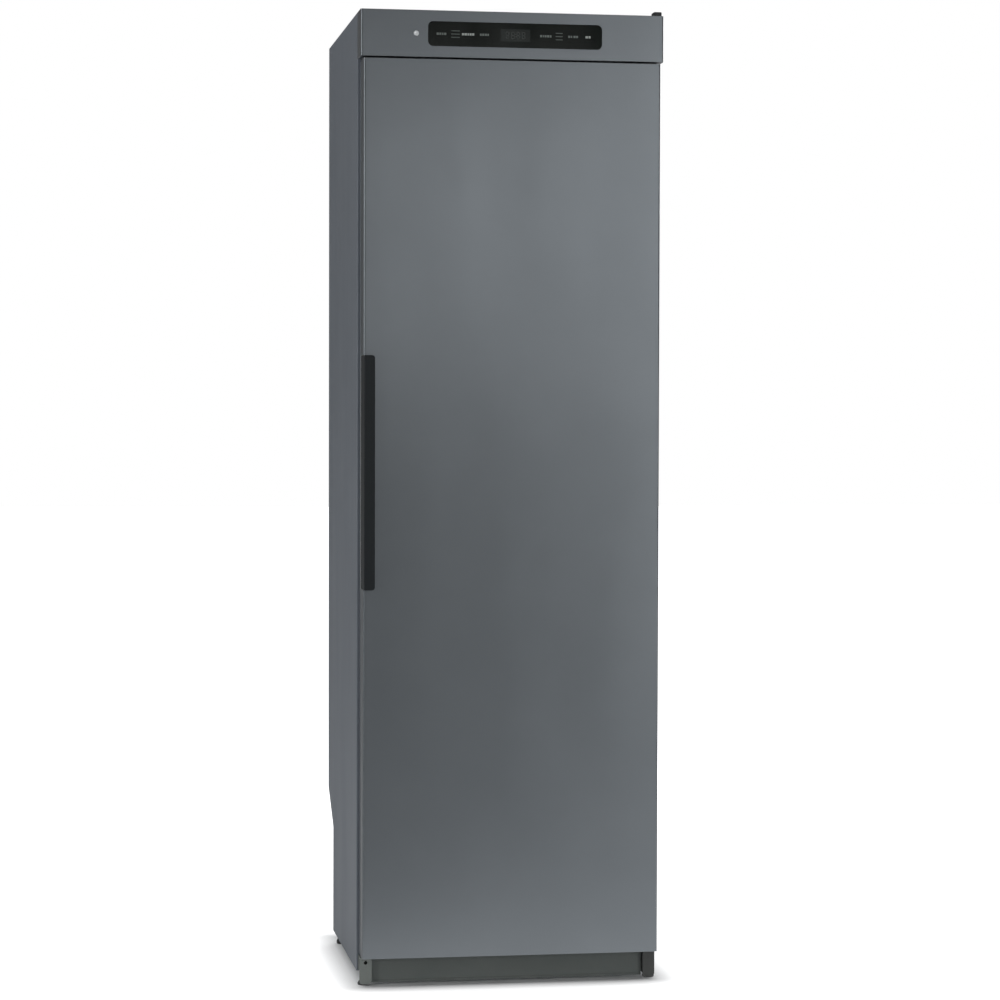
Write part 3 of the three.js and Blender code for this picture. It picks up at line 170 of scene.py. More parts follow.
class Shape:
    """A piece under construction. Its methods return the shape, so that they can be chained."""

    def __init__(self) -> None:
        """Starts with an empty mesh."""
        self.mesh = bmesh.new()

    @classmethod
    def block(cls, low: Place, high: Place) -> "Shape":
        """A box between two corners.

        Args:
            low: Its lowest corner.
            high: Its highest corner.

        Returns:
            The box.
        """
        shape = cls()
        low, high = Vector(low), Vector(high)
        place = Matrix.Translation((low + high) / 2) @ Matrix.Diagonal((*(high - low), 1))
        bmesh.ops.create_cube(shape.mesh, size=1.0, matrix=place)
        return shape

    @classmethod
    def rod(cls, start: Place, end: Place, radius: float, sides: int = ROUND_SIDES) -> "Shape":
        """A round bar between two points.

        Args:
            start: The middle of its first end.
            end: The middle of its second end.
            radius: Its radius.
            sides: The number of steps round it.

        Returns:
            The bar.
        """
        shape = cls()
        start, end = Vector(start), Vector(end)
        bmesh.ops.create_cone(
            shape.mesh, cap_ends=True, segments=sides, radius1=radius, radius2=radius,
            depth=(end - start).length,
            matrix=Matrix.Translation((start + end) / 2) @ turn_to(end - start),
        )
        return shape

    @classmethod
    def sheet(cls, axis: Axis, at: float, outline: Outline, holes: Sequence[Outline] = ()) -> "Shape":
        """A flat face with holes, square to an axis.

        Args:
            axis: The axis that the sheet is square to.
            at: The sheet's place on that axis.
            outline: Its outer edge.
            holes: The holes in it.

        Returns:
            The sheet, with no thickness yet.
        """
        shape = cls()
        for loop in (outline, *holes):
            loop.trace(shape.mesh)
        bmesh.ops.triangle_fill(shape.mesh, use_beauty=True, edges=shape.mesh.edges[:])
        shape.flatten()
        shape.mesh.transform(Matrix.Translation(axis.along * at) @ axis.turn)
        return shape

    @classmethod
    def plate(
        cls, axis: Axis, limits: tuple[float, float], outline: Outline, holes: Sequence[Outline] = (),
    ) -> "Shape":
        """A flat solid with holes, between two limits along an axis.

        Args:
            axis: The axis that the plate is square to.
            limits: Where it starts and ends on that axis.
            outline: Its outer edge.
            holes: The holes in it.

        Returns:
            The plate.
        """
        shape = cls.sheet(axis, limits[0], outline, holes)
        made = bmesh.ops.extrude_face_region(shape.mesh, geom=shape.mesh.faces[:])
        verts = [part for part in made["geom"] if isinstance(part, bmesh.types.BMVert)]
        bmesh.ops.translate(shape.mesh, verts=verts, vec=axis.along * (limits[1] - limits[0]))
        return shape.turn_out()

    @classmethod
    def turned(
        cls, profile: Sequence[tuple[float, float]], base: Place, axis: Place,
        sides: int = ROUND_SIDES,
    ) -> "Shape":
        """A piece turned about an axis.

        Args:
            profile: Its outline, as radius and height.
            base: The point on the axis at height 0.
            axis: The direction of the axis.
            sides: The number of steps round it.

        Returns:
            The turned piece.
        """
        shape = cls()
        verts = [shape.mesh.verts.new((radius, 0, height)) for radius, height in profile]
        edges = [shape.mesh.edges.new(pair) for pair in zip(verts, verts[1:])]
        bmesh.ops.spin(
            shape.mesh, geom=[*verts, *edges], cent=(0, 0, 0), axis=(0, 0, 1),
            angle=math.tau, steps=sides, use_merge=True,
        )
        shape.mesh.transform(Matrix.Translation(base) @ turn_to(axis))
        return shape.turn_out()

    @classmethod
    def tube(cls, path: Sequence[Place], radius: float, bend: float, sides: int) -> "Shape":
        """A round tube along straight runs, with a round bend at each inner point.

        Args:
            path: The corners of its middle line.
            radius: Its radius.
            bend: How far from a corner it starts to turn.
            sides: The number of steps round it, a multiple of four.

        Returns:
            The tube.
        """
        points = [Vector(point) for point in path]
        line = [points[0]]
        for before, corner, after in zip(points, points[1:], points[2:]):
            back, on = (before - corner).normalized(), (after - corner).normalized()
            for step in range(CORNER_STEPS + 1):
                t = step / CORNER_STEPS
                line.append(corner + back * bend * (1 - t) ** 2 + on * bend * t**2)
        line.append(points[-1])
        curve = bpy.data.curves.new("tube", "CURVE")
        curve.dimensions = "3D"
        curve.bevel_depth = radius
        curve.bevel_resolution = sides // 4 - 1
        curve.use_fill_caps = True
        spline = curve.splines.new("POLY")
        spline.points.add(len(line) - 1)
        for place, point in zip(spline.points, line):
            place.co = (*point, 1)
        holder = bpy.data.objects.new("tube", curve)
        mesh = holder.to_mesh()
        shape = cls()
        shape.mesh.from_mesh(mesh)
        bpy.data.objects.remove(holder)
        bpy.data.curves.remove(curve)
        return shape.turn_out()

    @classmethod
    def copy_of(cls, node: str) -> "Shape":
        """A merged copy of a node of the frame, with its flat sides in one piece.

        Args:
            node: The node's name.

        Returns:
            The copy.
        """
        shape = cls()
        shape.mesh.from_mesh(frame["nodes"][node].data)
        return shape.turn_out().flatten()

    def flatten(self) -> "Shape":
        """Joins faces that lie in one plane.

        Returns:
            The shape itself.
        """
        bmesh.ops.dissolve_limit(
            self.mesh, angle_limit=FLAT_ANGLE, verts=self.mesh.verts[:], edges=self.mesh.edges[:],
        )
        return self

    def turn_out(self) -> "Shape":
        """Merges doubles and turns every face outwards.

        Returns:
            The shape itself.
        """
        bmesh.ops.remove_doubles(self.mesh, verts=self.mesh.verts[:], dist=MERGE_DISTANCE)
        bmesh.ops.recalc_face_normals(self.mesh, faces=self.mesh.faces[:])
        return self

    def soften(
        self, width: float, steps: int = 3, where: Callable[[Vector, Vector], bool] | None = None,
    ) -> "Shape":
        """Rounds sharp edges.

        Args:
            width: How far the rounding reaches from each edge.
            steps: The number of steps across it.
            where: A test of an edge's middle and direction, or None to round them all.

        Returns:
            The shape itself.
        """
        picked = []
        for edge in self.mesh.edges:
            if not edge.is_manifold or edge.calc_face_angle() < EDGE_ANGLE:
                continue
            start, end = edge.verts[0].co, edge.verts[1].co
            if where is None or where((start + end) / 2, (end - start).normalized()):
                picked.append(edge)
        bmesh.ops.bevel(
            self.mesh, geom=picked, offset=width, offset_type="OFFSET", segments=steps,
            profile=0.5, affect="EDGES", material=-1, clamp_overlap=True,
        )
        return self

    def score(self, point: Place, normal: Place) -> "Shape":
        """Cuts new edges where a plane crosses the shape.

        Args:
            point: A point on the plane.
            normal: The direction that the plane is square to.

        Returns:
            The shape itself.
        """
        everything = [*self.mesh.verts, *self.mesh.edges, *self.mesh.faces]
        bmesh.ops.bisect_plane(
            self.mesh, geom=everything, dist=MERGE_DISTANCE, plane_co=point, plane_no=normal,
        )
        return self

    def trim(self, where: PointTest) -> "Shape":
        """Takes away the faces whose middle passes a test.

        Args:
            where: The test.

        Returns:
            The shape itself.
        """
        picked = [face for face in self.mesh.faces if where(face.calc_center_median())]
        bmesh.ops.delete(self.mesh, geom=picked, context="FACES")
        return self

    def press(self, where: PointTest, width: float, depth: float) -> "Shape":
        """Presses faces out by a depth, or in where it is negative, with a sloping edge.

        Args:
            where: A test of a face's middle.
            width: The width of the sloping edge.
            depth: How far the face moves along its normal.

        Returns:
            The shape itself.
        """
        picked = [face for face in self.mesh.faces if where(face.calc_center_median())]
        bmesh.ops.inset_region(
            self.mesh, faces=picked, thickness=width, depth=depth, use_boundary=True, use_even_offset=True,
        )
        return self

    def field(self, low: Place, high: Place, width: float, depth: float) -> "Shape":
        """Presses a rectangle of a flat side out, or in where the depth is negative.

        Args:
            low: Its lowest corner, a little in front of the side or behind it.
            high: Its highest corner.
            width: The width of the sloping edge.
            depth: How far the rectangle moves.

        Returns:
            The shape itself.
        """
        # The box is thin across the side, and its own ends there cut nothing.
        for axis in Axis:
            start, end = Vector(low).dot(axis.along), Vector(high).dot(axis.along)
            if end - start > THIN:
                self.score(axis.along * start, axis.along).score(axis.along * end, axis.along)
        return self.press(inside(low, high), width, depth)

    def fold(self, where: PointTest, step: Place) -> "Shape":
        """Draws open edges whose middle passes a test out along a step.

        Args:
            where: The test.
            step: How far the edges are drawn out.

        Returns:
            The shape itself.
        """
        picked = self.open_edges(where)
        made = bmesh.ops.extrude_edge_only(self.mesh, edges=picked)
        verts = [part for part in made["geom"] if isinstance(part, bmesh.types.BMVert)]
        bmesh.ops.translate(self.mesh, verts=verts, vec=step)
        return self

    def bend(self, where: PointTest, centre: Place, axis: Place) -> "Shape":
        """Rolls open edges whose middle passes a test a quarter turn round an axis, as a press brake does.

        Args:
            where: A test of an edge's middle.
            centre: A point on the axis.
            axis: The direction of the axis.

        Returns:
            The shape itself.
        """
        picked = self.open_edges(where)
        verts = list({vert for edge in picked for vert in edge.verts})
        bmesh.ops.spin(
            self.mesh, geom=[*verts, *picked], cent=centre, axis=axis, angle=math.pi / 2,
            steps=BEND_STEPS, use_merge=False, use_duplicate=False,
        )
        return self

    def fold_back(self, room: "Room", radius: float) -> "Shape":
        """Bends both sides of a front sheet round to the back of its room.

        Args:
            room: The room that the folded sheet fills.
            radius: The radius of the bends.

        Returns:
            The shape itself.
        """
        inner = room.low.y + radius
        for side, edge in ((-1, room.low.x), (1, room.high.x)):
            start = edge - side * radius
            self.bend(lambda at: side * (at.x - start) > -MERGE_DISTANCE, (start, inner, 0), (0, 0, side))
            self.fold(lambda at: side * (at.x - edge) > -MERGE_DISTANCE, (0, room.high.y - inner, 0))
        return self

    def open_edges(self, where: PointTest) -> list[bmesh.types.BMEdge]:
        """The open edges whose middle passes a test.

        Args:
            where: The test.

        Returns:
            The edges.
        """
        return [
            edge for edge in self.mesh.edges
            if edge.is_boundary and where((edge.verts[0].co + edge.verts[1].co) / 2)
        ]

    def face_to(self, direction: Place) -> "Shape":
        """Turns the faces one way, with the largest one towards a direction.

        Args:
            direction: The direction.

        Returns:
            The shape itself.
        """
        self.turn_out()
        largest = max(self.mesh.faces, key=lambda face: face.calc_area())
        if largest.normal.dot(Vector(direction)) < 0:
            bmesh.ops.reverse_faces(self.mesh, faces=self.mesh.faces[:])
        return self

    def thicken(self, thickness: float, outside: Place) -> "Shape":
        """Gives a sheet its thickness, on the side away from the outside.

        Args:
            thickness: Its thickness.
            outside: The direction that its largest face looks in.

        Returns:
            The shape itself.
        """
        self.face_to(outside)
        bmesh.ops.solidify(self.mesh, geom=self.mesh.faces[:], thickness=thickness)
        return self.turn_out()

    def move(self, step: Place) -> "Shape":
        """Moves the shape by a step."""
        self.mesh.transform(Matrix.Translation(step))
        return self

    def mirrored(self) -> "Shape":
        """A mirror image of the shape across the middle of the cabinet.

        Returns:
            The mirror image.
        """
        twin = Shape()
        twin.mesh = self.mesh.copy()
        twin.mesh.transform(Matrix.Diagonal((-1, 1, 1, 1)))
        bmesh.ops.reverse_faces(twin.mesh, faces=twin.mesh.faces[:])
        return twin

    def paint(self, index: int) -> "Shape":
        """Gives every face one of the piece's finishes, by its number.

        Args:
            index: The number.

        Returns:
            The shape itself.
        """
        for face in self.mesh.faces:
            face.material_index = index
        return self

    def add(self, *others: "Shape") -> "Shape":
        """Adds other shapes to this one.

        Args:
            others: The other shapes, which stay as they are.

        Returns:
            The shape itself.
        """
        for other in others:
            carrier = bpy.data.meshes.new("carrier")
            other.mesh.to_mesh(carrier)
            self.mesh.from_mesh(carrier)
            bpy.data.meshes.remove(carrier)
        return self


def inside(low: Place, high: Place) -> PointTest:
    """A test whether a point lies in a box."""
    return lambda point: all(a < x < b for a, x, b in zip(low, point, high))


# ---------------- node trees


class Nodes:
    """Adds nodes to a tree and wires them."""

    def __init__(self, tree: bpy.types.NodeTree) -> None:
        """Works on a tree."""
        self.tree = tree

    def add(
        self, kind: str, inputs: dict[str | int, object] | None = None, **settings: object,
    ) -> bpy.types.Node:
        """Adds a node.

        Args:
            kind: The node's type.
            inputs: A value or a socket for each of its inputs that is set.
            settings: The node's own settings.

        Returns:
            The node.
        """
        node = self.tree.nodes.new(kind)
        for name, value in settings.items():
            setattr(node, name, value)
        return self.feed(node, inputs or {})

    def feed(self, node: bpy.types.Node, inputs: dict[str | int, object]) -> bpy.types.Node:
        """Sets a node's inputs.

        Args:
            node: The node.
            inputs: A value or a socket for each input that is set.

        Returns:
            The node.
        """
        for name, value in inputs.items():
            if isinstance(value, bpy.types.NodeSocket):
                self.tree.links.new(value, node.inputs[name])
            else:
                node.inputs[name].default_value = value
        return node

    def maths(self, operation: str, *values: object) -> Socket:
        """The result of a Math node."""
        return self.add("ShaderNodeMath", dict(enumerate(values)), operation=operation).outputs[0]

    def vectors(self, operation: str, *values: object, output: int = 0) -> Socket:
        """The result of a Vector Math node."""
        made = self.add("ShaderNodeVectorMath", dict(enumerate(values)), operation=operation)
        return made.outputs[output]

    def weigh(self, first: Socket, share: float, second: Socket) -> Socket:
        """A share of one value and the rest of another."""
        return self.maths("MULTIPLY_ADD", first, share, self.maths("MULTIPLY", second, 1 - share))

    def remap(self, value: Socket, source: Limits, target: Limits = FULL) -> Socket:
        """A value moved from one range to another, and held inside it."""
        inputs = {"Value": value, 1: source[0], 2: source[1], 3: target[0], 4: target[1]}
        return self.add("ShaderNodeMapRange", inputs).outputs["Result"]

    def part(self, vector: Socket, axis: Axis) -> Socket:
        """One part of a vector."""
        return self.add("ShaderNodeSeparateXYZ", {0: vector}).outputs[axis.name]

    def mix(self, share: Socket | float, first: object, second: object) -> Socket:
        """Two colours mixed by a share of the second."""
        inputs = {"Factor": share, 6: first, 7: second}
        return self.add("ShaderNodeMix", inputs, data_type="RGBA").outputs[2]

    def patches(self, place: Socket, scale: Socket) -> Socket:
        """Cells, each with one value from 0 to 1."""
        cells = self.add("ShaderNodeTexVoronoi", {"Vector": place, "Scale": scale})
        return self.add("ShaderNodeSeparateColor", {0: cells.outputs["Color"]}).outputs[0]

    def noise(self, place: Socket, scale: Socket | float, detail: float = 3.0) -> Socket:
        """Smooth noise from 0 to 1."""
        inputs = {"Vector": place, "Scale": scale, "Detail": detail}
        return self.add("ShaderNodeTexNoise", inputs).outputs[0]

    def sight(self) -> tuple[Socket, Socket]:
        """How a surface is being seen.

        Returns:
            Whether a ray comes straight from the camera, and whether it is a reflection.
        """
        seen = self.add("ShaderNodeLightPath").outputs
        direct = self.maths("MAXIMUM", seen["Is Camera Ray"], seen["Is Transmission Ray"])
        return direct, seen["Is Glossy Ray"]

    def effect(self, group: bpy.types.NodeTree, **inputs: object) -> bpy.types.Node:
        """Places a shared effect with its own values."""
        return self.add("ShaderNodeGroup", inputs, node_tree=group)


FLOAT = "NodeSocketFloat"
VECTOR = "NodeSocketVector"
Maker = Callable[[Nodes, dict[str, Socket]], dict[str, Socket]]
Drawn = tuple[Socket, Socket]


def effect_group(
    name: str, inputs: dict[str, str], outputs: Sequence[str], make: Maker,
) -> bpy.types.NodeTree:
    """Builds a shared effect.

    Args:
        name: The group's name.
        inputs: The type of each named input.
        outputs: The names of its outputs, all plain numbers.
        make: Fills the group from its inputs, and returns the socket for each output.

    Returns:
        The node group.
    """
    group = bpy.data.node_groups.new(name, "ShaderNodeTree")
    for label, kind in inputs.items():
        group.interface.new_socket(label, in_out="INPUT", socket_type=kind)
    for label in outputs:
        group.interface.new_socket(label, in_out="OUTPUT", socket_type=FLOAT)
    nodes = Nodes(group)
    start = nodes.add("NodeGroupInput")
    results = make(nodes, {label: start.outputs[label] for label in inputs})
    nodes.add("NodeGroupOutput", results)
    return group


class Drawing:
    """The fine structures of surfaces. Each is drawn as its tone and its height."""

    def __init__(self, nodes: Nodes, given: dict[str, Socket]) -> None:
        """Finds the stretched place and the scale that a pattern reads.

        Args:
            nodes: The group under construction.
            given: Its inputs, by name.
        """
        self.nodes = nodes
        self.place = nodes.vectors("MULTIPLY", given["Place"], given["Stretch"])
        self.scale = nodes.maths("DIVIDE", 1.0, given["Size"])

    def noise(self, share: float, detail: float = 3.0) -> Socket:
        """Smooth noise at a share of the pattern's scale."""
        return self.nodes.noise(self.place, self.nodes.maths("MULTIPLY", self.scale, share), detail)

    def flake(self) -> Drawn:
        """Metallic flakes in a lacquer with a little orange peel.

        Returns:
            The tone and the height.
        """
        peel_scale, glint_height = 0.16, 0.2
        glint = self.nodes.patches(self.place, self.scale)
        peel = self.noise(peel_scale, detail=2.0)
        return glint, self.nodes.maths("MULTIPLY_ADD", glint, glint_height, peel)

    def moulded(self) -> Drawn:
        """The fine eroded texture of a moulding.

        Returns:
            The tone and the height.
        """
        softness, cloud_scale, cell_height = 0.6, 0.3, 0.7
        inputs = {"Vector": self.place, "Scale": self.scale, "Smoothness": softness}
        cells = self.nodes.add("ShaderNodeTexVoronoi", inputs, feature="SMOOTH_F1")
        clouds = self.noise(cloud_scale, detail=4.0)
        return clouds, self.nodes.maths("MULTIPLY_ADD", cells.outputs["Distance"], cell_height, clouds)

    def enamel(self) -> Drawn:
        """Sprayed enamel: orange peel over a faint cloudiness."""
        peel_scale, cloud_scale = 1.0, 0.08
        return self.noise(cloud_scale), self.noise(peel_scale, detail=1.5)

    def brushed(self) -> Drawn:
        """Fine drawn lines of unequal strength.

        Returns:
            The tone and the height.
        """
        line_scale, band_scale, band_share = 1.0, 0.2, 0.4
        lines, bands = self.noise(line_scale, detail=5.0), self.noise(band_scale, detail=2.0)
        return self.nodes.weigh(bands, band_share, lines), lines

    def spangle(self) -> Drawn:
        """The crystal patches of a zinc coat.

        Returns:
            The tone and the height.
        """
        cloud_scale, patch_share = 1.0, 0.6
        clouds = self.noise(cloud_scale, detail=4.0)
        return self.nodes.weigh(self.nodes.patches(self.place, self.scale), patch_share, clouds), clouds

    def foam(self) -> Drawn:
        """Open cells of a foamed filling.

        Returns:
            The tone and the height.
        """
        cloud_scale, cell_share = 0.1, 0.5
        inputs = {"Vector": self.place, "Scale": self.scale}
        cells = self.nodes.add("ShaderNodeTexVoronoi", inputs).outputs["Distance"]
        return self.nodes.weigh(cells, cell_share, self.noise(cloud_scale)), cells

    def weave(self) -> Drawn:
        """Crossing threads of a filter cloth, or the tracks of a board where it is coarse.

        Returns:
            The tone and the height.
        """
        thread_share, middle = 0.25, 0.5
        turns = self.nodes.vectors("SCALE", self.place)
        turns.node.inputs["Scale"].default_value = math.tau
        across, along, up = (
            self.nodes.maths("SINE", self.nodes.maths("MULTIPLY", self.nodes.part(turns, axis), self.scale))
            for axis in Axis
        )
        woven = self.nodes.maths("MULTIPLY", self.nodes.maths("ADD", across, up), thread_share)
        threads = self.nodes.maths("MULTIPLY_ADD", along, thread_share, woven)
        height = self.nodes.maths("ADD", threads, middle)
        return height, height


class Pattern(Enum):
    """The fine structure of a surface, by the name of its drawing."""

    FLAKE = "flake"
    MOULDED = "moulded"
    ENAMEL = "enamel"
    BRUSHED = "brushed"
    SPANGLE = "spangle"
    FOAM = "foam"
    WEAVE = "weave"


@cache
def pattern_group(pattern: Pattern) -> bpy.types.NodeTree:
    """Builds a pattern's effect, once.

    Args:
        pattern: The pattern.

    Returns:
        The node group.
    """

    def draw(nodes: Nodes, given: dict[str, Socket]) -> dict[str, Socket]:
        """Draws the pattern from the group's inputs."""
        tone, height = getattr(Drawing(nodes, given), pattern.value)()
        return {"Tone": tone, "Height": height}

    inputs = {"Place": VECTOR, "Size": FLOAT, "Stretch": VECTOR}
    return effect_group(f"{pattern.value} pattern", inputs, ("Tone", "Height"), draw)


# Scales are in noise cells per metre.
CLOUD_SCALE = 5.0
WIPE_SCALE = 9.0
WIPE_STRETCH = (1.0, 1.0, 0.22)
WAVE_SCALE = 3.2
EDGE_TURN = (0.99, 0.80)
WEAR_SCALE = 60.0
WEAR_SAMPLES = 4
CHIP_RANGE = (0.42, 0.62)
CHIP_DEPTH = (0.15, 1.0)
UPWARD_RANGE = (0.6, 1.0)
DUST_SCALE = 18.0
DUST_RANGE = (0.35, 0.7)
DUST_DEPTH = (0.2, 1.0)
KICK_HEIGHT = 0.12
KICK_SHARE = 0.5


def handling(nodes: Nodes, given: dict[str, Socket]) -> dict[str, Socket]:
    """Slow differences over a surface: cloudiness, wiped streaks, and the waves of a thin sheet.

    Args:
        nodes: The group under construction.
        given: Its inputs, by name.

    Returns:
        The sockets for its outputs, by name.
    """
    place = given["Place"]
    clouds = nodes.noise(place, CLOUD_SCALE, detail=4.0)
    wiped = nodes.noise(nodes.vectors("MULTIPLY", place, WIPE_STRETCH), WIPE_SCALE)
    waves = nodes.noise(place, WAVE_SCALE, detail=0.0)
    return {"Clouds": clouds, "Streaks": wiped, "Waves": waves}


def edge_wear(nodes: Nodes, given: dict[str, Socket]) -> dict[str, Socket]:
    """Where an edge has been rubbed: the rounding of a narrow bevel, broken up by noise.

    Args:
        nodes: The group under construction.
        given: Its inputs, by name.

    Returns:
        The sockets for its outputs, by name.
    """
    rounded = nodes.add("ShaderNodeBevel", {"Radius": given["Reach"]}, samples=WEAR_SAMPLES)
    flat = nodes.add("ShaderNodeNewGeometry").outputs["Normal"]
    agreement = nodes.vectors("DOT_PRODUCT", rounded.outputs[0], flat, output=1)
    edge = nodes.remap(agreement, EDGE_TURN)
    chips = nodes.remap(nodes.noise(given["Place"], WEAR_SCALE, detail=4.0), CHIP_RANGE, CHIP_DEPTH)
    strength = nodes.maths("MULTIPLY", edge, chips)
    return {"Mask": nodes.maths("MULTIPLY", strength, given["Amount"])}


def settled_dust(nodes: Nodes, given: dict[str, Socket]) -> dict[str, Socket]:
    """Dust that settles on what faces up, and low down near the floor.

    Args:
        nodes: The group under construction.
        given: Its inputs, by name.

    Returns:
        The sockets for its outputs, by name.
    """
    normal = nodes.add("ShaderNodeNewGeometry").outputs["Normal"]
    upward = nodes.remap(nodes.part(normal, Axis.Z), UPWARD_RANGE)
    low = nodes.remap(nodes.part(given["Place"], Axis.Z), (KICK_HEIGHT, 0.0), (0.0, KICK_SHARE))
    clouds = nodes.remap(nodes.noise(given["Place"], DUST_SCALE, detail=5.0), DUST_RANGE, DUST_DEPTH)
    settled = nodes.maths("MULTIPLY", nodes.maths("MAXIMUM", upward, low), clouds)
    return {"Mask": nodes.maths("MULTIPLY", settled, given["Amount"])}


@cache
def handling_group() -> bpy.types.NodeTree:
    """Builds the effect of handling, once."""
    return effect_group("handling", {"Place": VECTOR}, ("Clouds", "Streaks", "Waves"), handling)


@cache
def wear_group() -> bpy.types.NodeTree:
    """Builds the effect of edge wear, once."""
    inputs = {"Place": VECTOR, "Reach": FLOAT, "Amount": FLOAT}
    return effect_group("edge wear", inputs, ("Mask",), edge_wear)


@cache
def dust_group() -> bpy.types.NodeTree:
    """Builds the effect of dust, once."""
    return effect_group("dust", {"Place": VECTOR, "Amount": FLOAT}, ("Mask",), settled_dust)


# ---------------- finishes


def screen_colour(colour: Colour) -> tuple[float, float, float, float]:
    """A screen colour, from 0 to 255, as linear light."""
    full, offset, gamma = 255, 0.055, 2.4
    return (*(((part / full + offset) / (1 + offset)) ** gamma for part in colour), 1.0)


DUST_COLOUR = (150, 147, 141)
DUST_ROUGHNESS = 0.35
WEAR_REACH = 1.2 * MM
NOISE_RANGE = (0.3, 0.7)
CLOUD_SHARE = (0.2, 0.8)


@dataclass(frozen=True)
class Finish:
    """A surface: its two tones, its gloss, its fine pattern, and its wear.

    Colours are as seen on a screen. Sizes and heights are in millimetres.
    """

    name: str
    colour: Colour
    tint: Colour
    gloss: tuple[float, float]
    pattern: Pattern
    size: float = 1.0
    stretch: Point = (1.0, 1.0, 1.0)
    contrast: float = 0.5
    relief: float = 0.02
    wave: float = 0.0
    metal: float = 0.0
    specular: float = 0.5
    coat: float = 0.0
    coat_gloss: float = 0.1
    wear: float = 0.25
    worn: Colour = (150, 152, 154)
    dust: float = 0.12

    def material(self) -> bpy.types.Material:
        """The finish as a material, built once.

        Returns:
            The material.
        """
        made = bpy.data.materials.get(self.name)
        if made is not None:
            return made
        made = bpy.data.materials.new(self.name)
        made.use_nodes = True
        nodes = Nodes(made.node_tree)
        shader = made.node_tree.nodes["Principled BSDF"]
        place = nodes.add("ShaderNodeTexCoord").outputs["Object"]
        drawing = pattern_group(self.pattern)
        pattern = nodes.effect(drawing, Place=place, Size=self.size * MM, Stretch=self.stretch)
        handled = nodes.effect(handling_group(), Place=place)
        tone, clouds = pattern.outputs["Tone"], handled.outputs["Clouds"]
        fine = nodes.remap(tone, FULL, (-self.contrast / 2, self.contrast / 2))
        share = nodes.maths("ADD", nodes.remap(clouds, NOISE_RANGE, CLOUD_SHARE), fine)
        share.node.use_clamp = True
        colour = nodes.mix(share, screen_colour(self.colour), screen_colour(self.tint))
        roughness = nodes.remap(handled.outputs["Streaks"], NOISE_RANGE, self.gloss)
        if self.wear:
            wear = nodes.effect(wear_group(), Place=place, Reach=WEAR_REACH, Amount=self.wear).outputs[0]
            colour = nodes.mix(wear, colour, screen_colour(self.worn))
        if self.dust:
            dust = nodes.effect(dust_group(), Place=place, Amount=self.dust).outputs[0]
            colour = nodes.mix(dust, colour, screen_colour(DUST_COLOUR))
            roughness = nodes.maths("MULTIPLY_ADD", dust, DUST_ROUGHNESS, roughness)
        inputs = {"Distance": self.relief * MM, "Height": pattern.outputs["Height"]}
        height = nodes.add("ShaderNodeBump", inputs)
        if self.wave:
            inputs = {"Distance": self.wave * MM, "Height": handled.outputs["Waves"]}
            height = nodes.add("ShaderNodeBump", {**inputs, "Normal": height.outputs[0]})
        nodes.feed(shader, {
            "Base Color": colour,
            "Roughness": roughness,
            "Normal": height.outputs[0],
            "Metallic": self.metal,
            "Specular IOR Level": self.specular,
            "Coat Weight": self.coat,
            "Coat Roughness": self.coat_gloss,
        })
        return made


FRONT_METAL = Finish(
    "front metal", (114, 119, 123), (107, 112, 116), (0.28, 0.32), Pattern.FLAKE, size=0.35,
    contrast=0.35, relief=0.004, wave=0.5, metal=0.8, wear=0.35, worn=(160, 163, 166), dust=0.05,
)
SIDE_PAINT = Finish(
    "side paint", (113, 119, 127), (106, 112, 120), (0.46, 0.52), Pattern.ENAMEL, size=1.4,
    contrast=0.25, wave=0.4, metal=0.2, specular=0.35, wear=0.3, worn=(140, 143, 147),
    dust=0.15,
)
ZINC = Finish(
    "zinc coat", (178, 182, 184), (160, 164, 167), (0.32, 0.42), Pattern.SPANGLE, size=7.0,
    contrast=0.45, relief=0.01, metal=0.35, wear=0.2, worn=(120, 118, 112),
)
LINING = Finish(
    "chamber enamel", (222, 225, 226), (211, 214, 216), (0.32, 0.42), Pattern.ENAMEL, size=1.6,
    contrast=0.25, wear=0.15, worn=(186, 186, 182), dust=0.05,
)
DOOR_LINING = Finish(
    "door lining", (226, 228, 229), (217, 219, 221), (0.28, 0.36), Pattern.MOULDED, size=1.1,
    contrast=0.2, relief=0.015, wear=0.1, worn=(196, 196, 192), dust=0.05,
)
# A grey darker than the lining for the rim's outer sides: painted shade where the door's edge lies in
# shadow.
DOOR_RIM_PAINTED_SHADE = Finish(
    "door rim painted shade", (112, 117, 121), (102, 107, 111), (0.42, 0.5), Pattern.MOULDED, size=0.9,
    contrast=0.3, relief=0.015, specular=0.3, wear=0.1, worn=(140, 144, 147), dust=0.05,
)
STAINLESS = Finish(
    "drawn stainless", (190, 192, 194), (165, 168, 171), (0.2, 0.3), Pattern.BRUSHED, size=0.5,
    stretch=(0.03, 1.0, 1.0), contrast=0.8, relief=0.006, metal=1.0, wear=0.0, dust=0.05,
)
BLACK_MOULDING = Finish(
    "black moulding", (36, 38, 40), (28, 30, 31), (0.42, 0.52), Pattern.MOULDED, size=0.5,
    contrast=0.6, wear=0.3, worn=(84, 86, 88), dust=0.15,
)
HANDLE_MOULDING = Finish(
    "handle moulding", (23, 28, 31), (17, 22, 25), (0.42, 0.5), Pattern.MOULDED, size=0.4,
    relief=0.01, specular=0.25, wear=0.3, worn=(86, 91, 94), dust=0.04,
)
PLINTH_MOULDING = Finish(
    "plinth moulding", (112, 118, 116), (102, 108, 106), (0.5, 0.6), Pattern.MOULDED, size=0.6,
    contrast=0.6, specular=0.2, wear=0.3, worn=(108, 112, 110), dust=0.3,
)
BRACKET_PAINT = Finish(
    "bracket paint", (118, 124, 121), (104, 110, 107), (0.4, 0.5), Pattern.ENAMEL,
    contrast=0.4, metal=0.3, wear=0.5, worn=(158, 160, 158), dust=0.25,
)
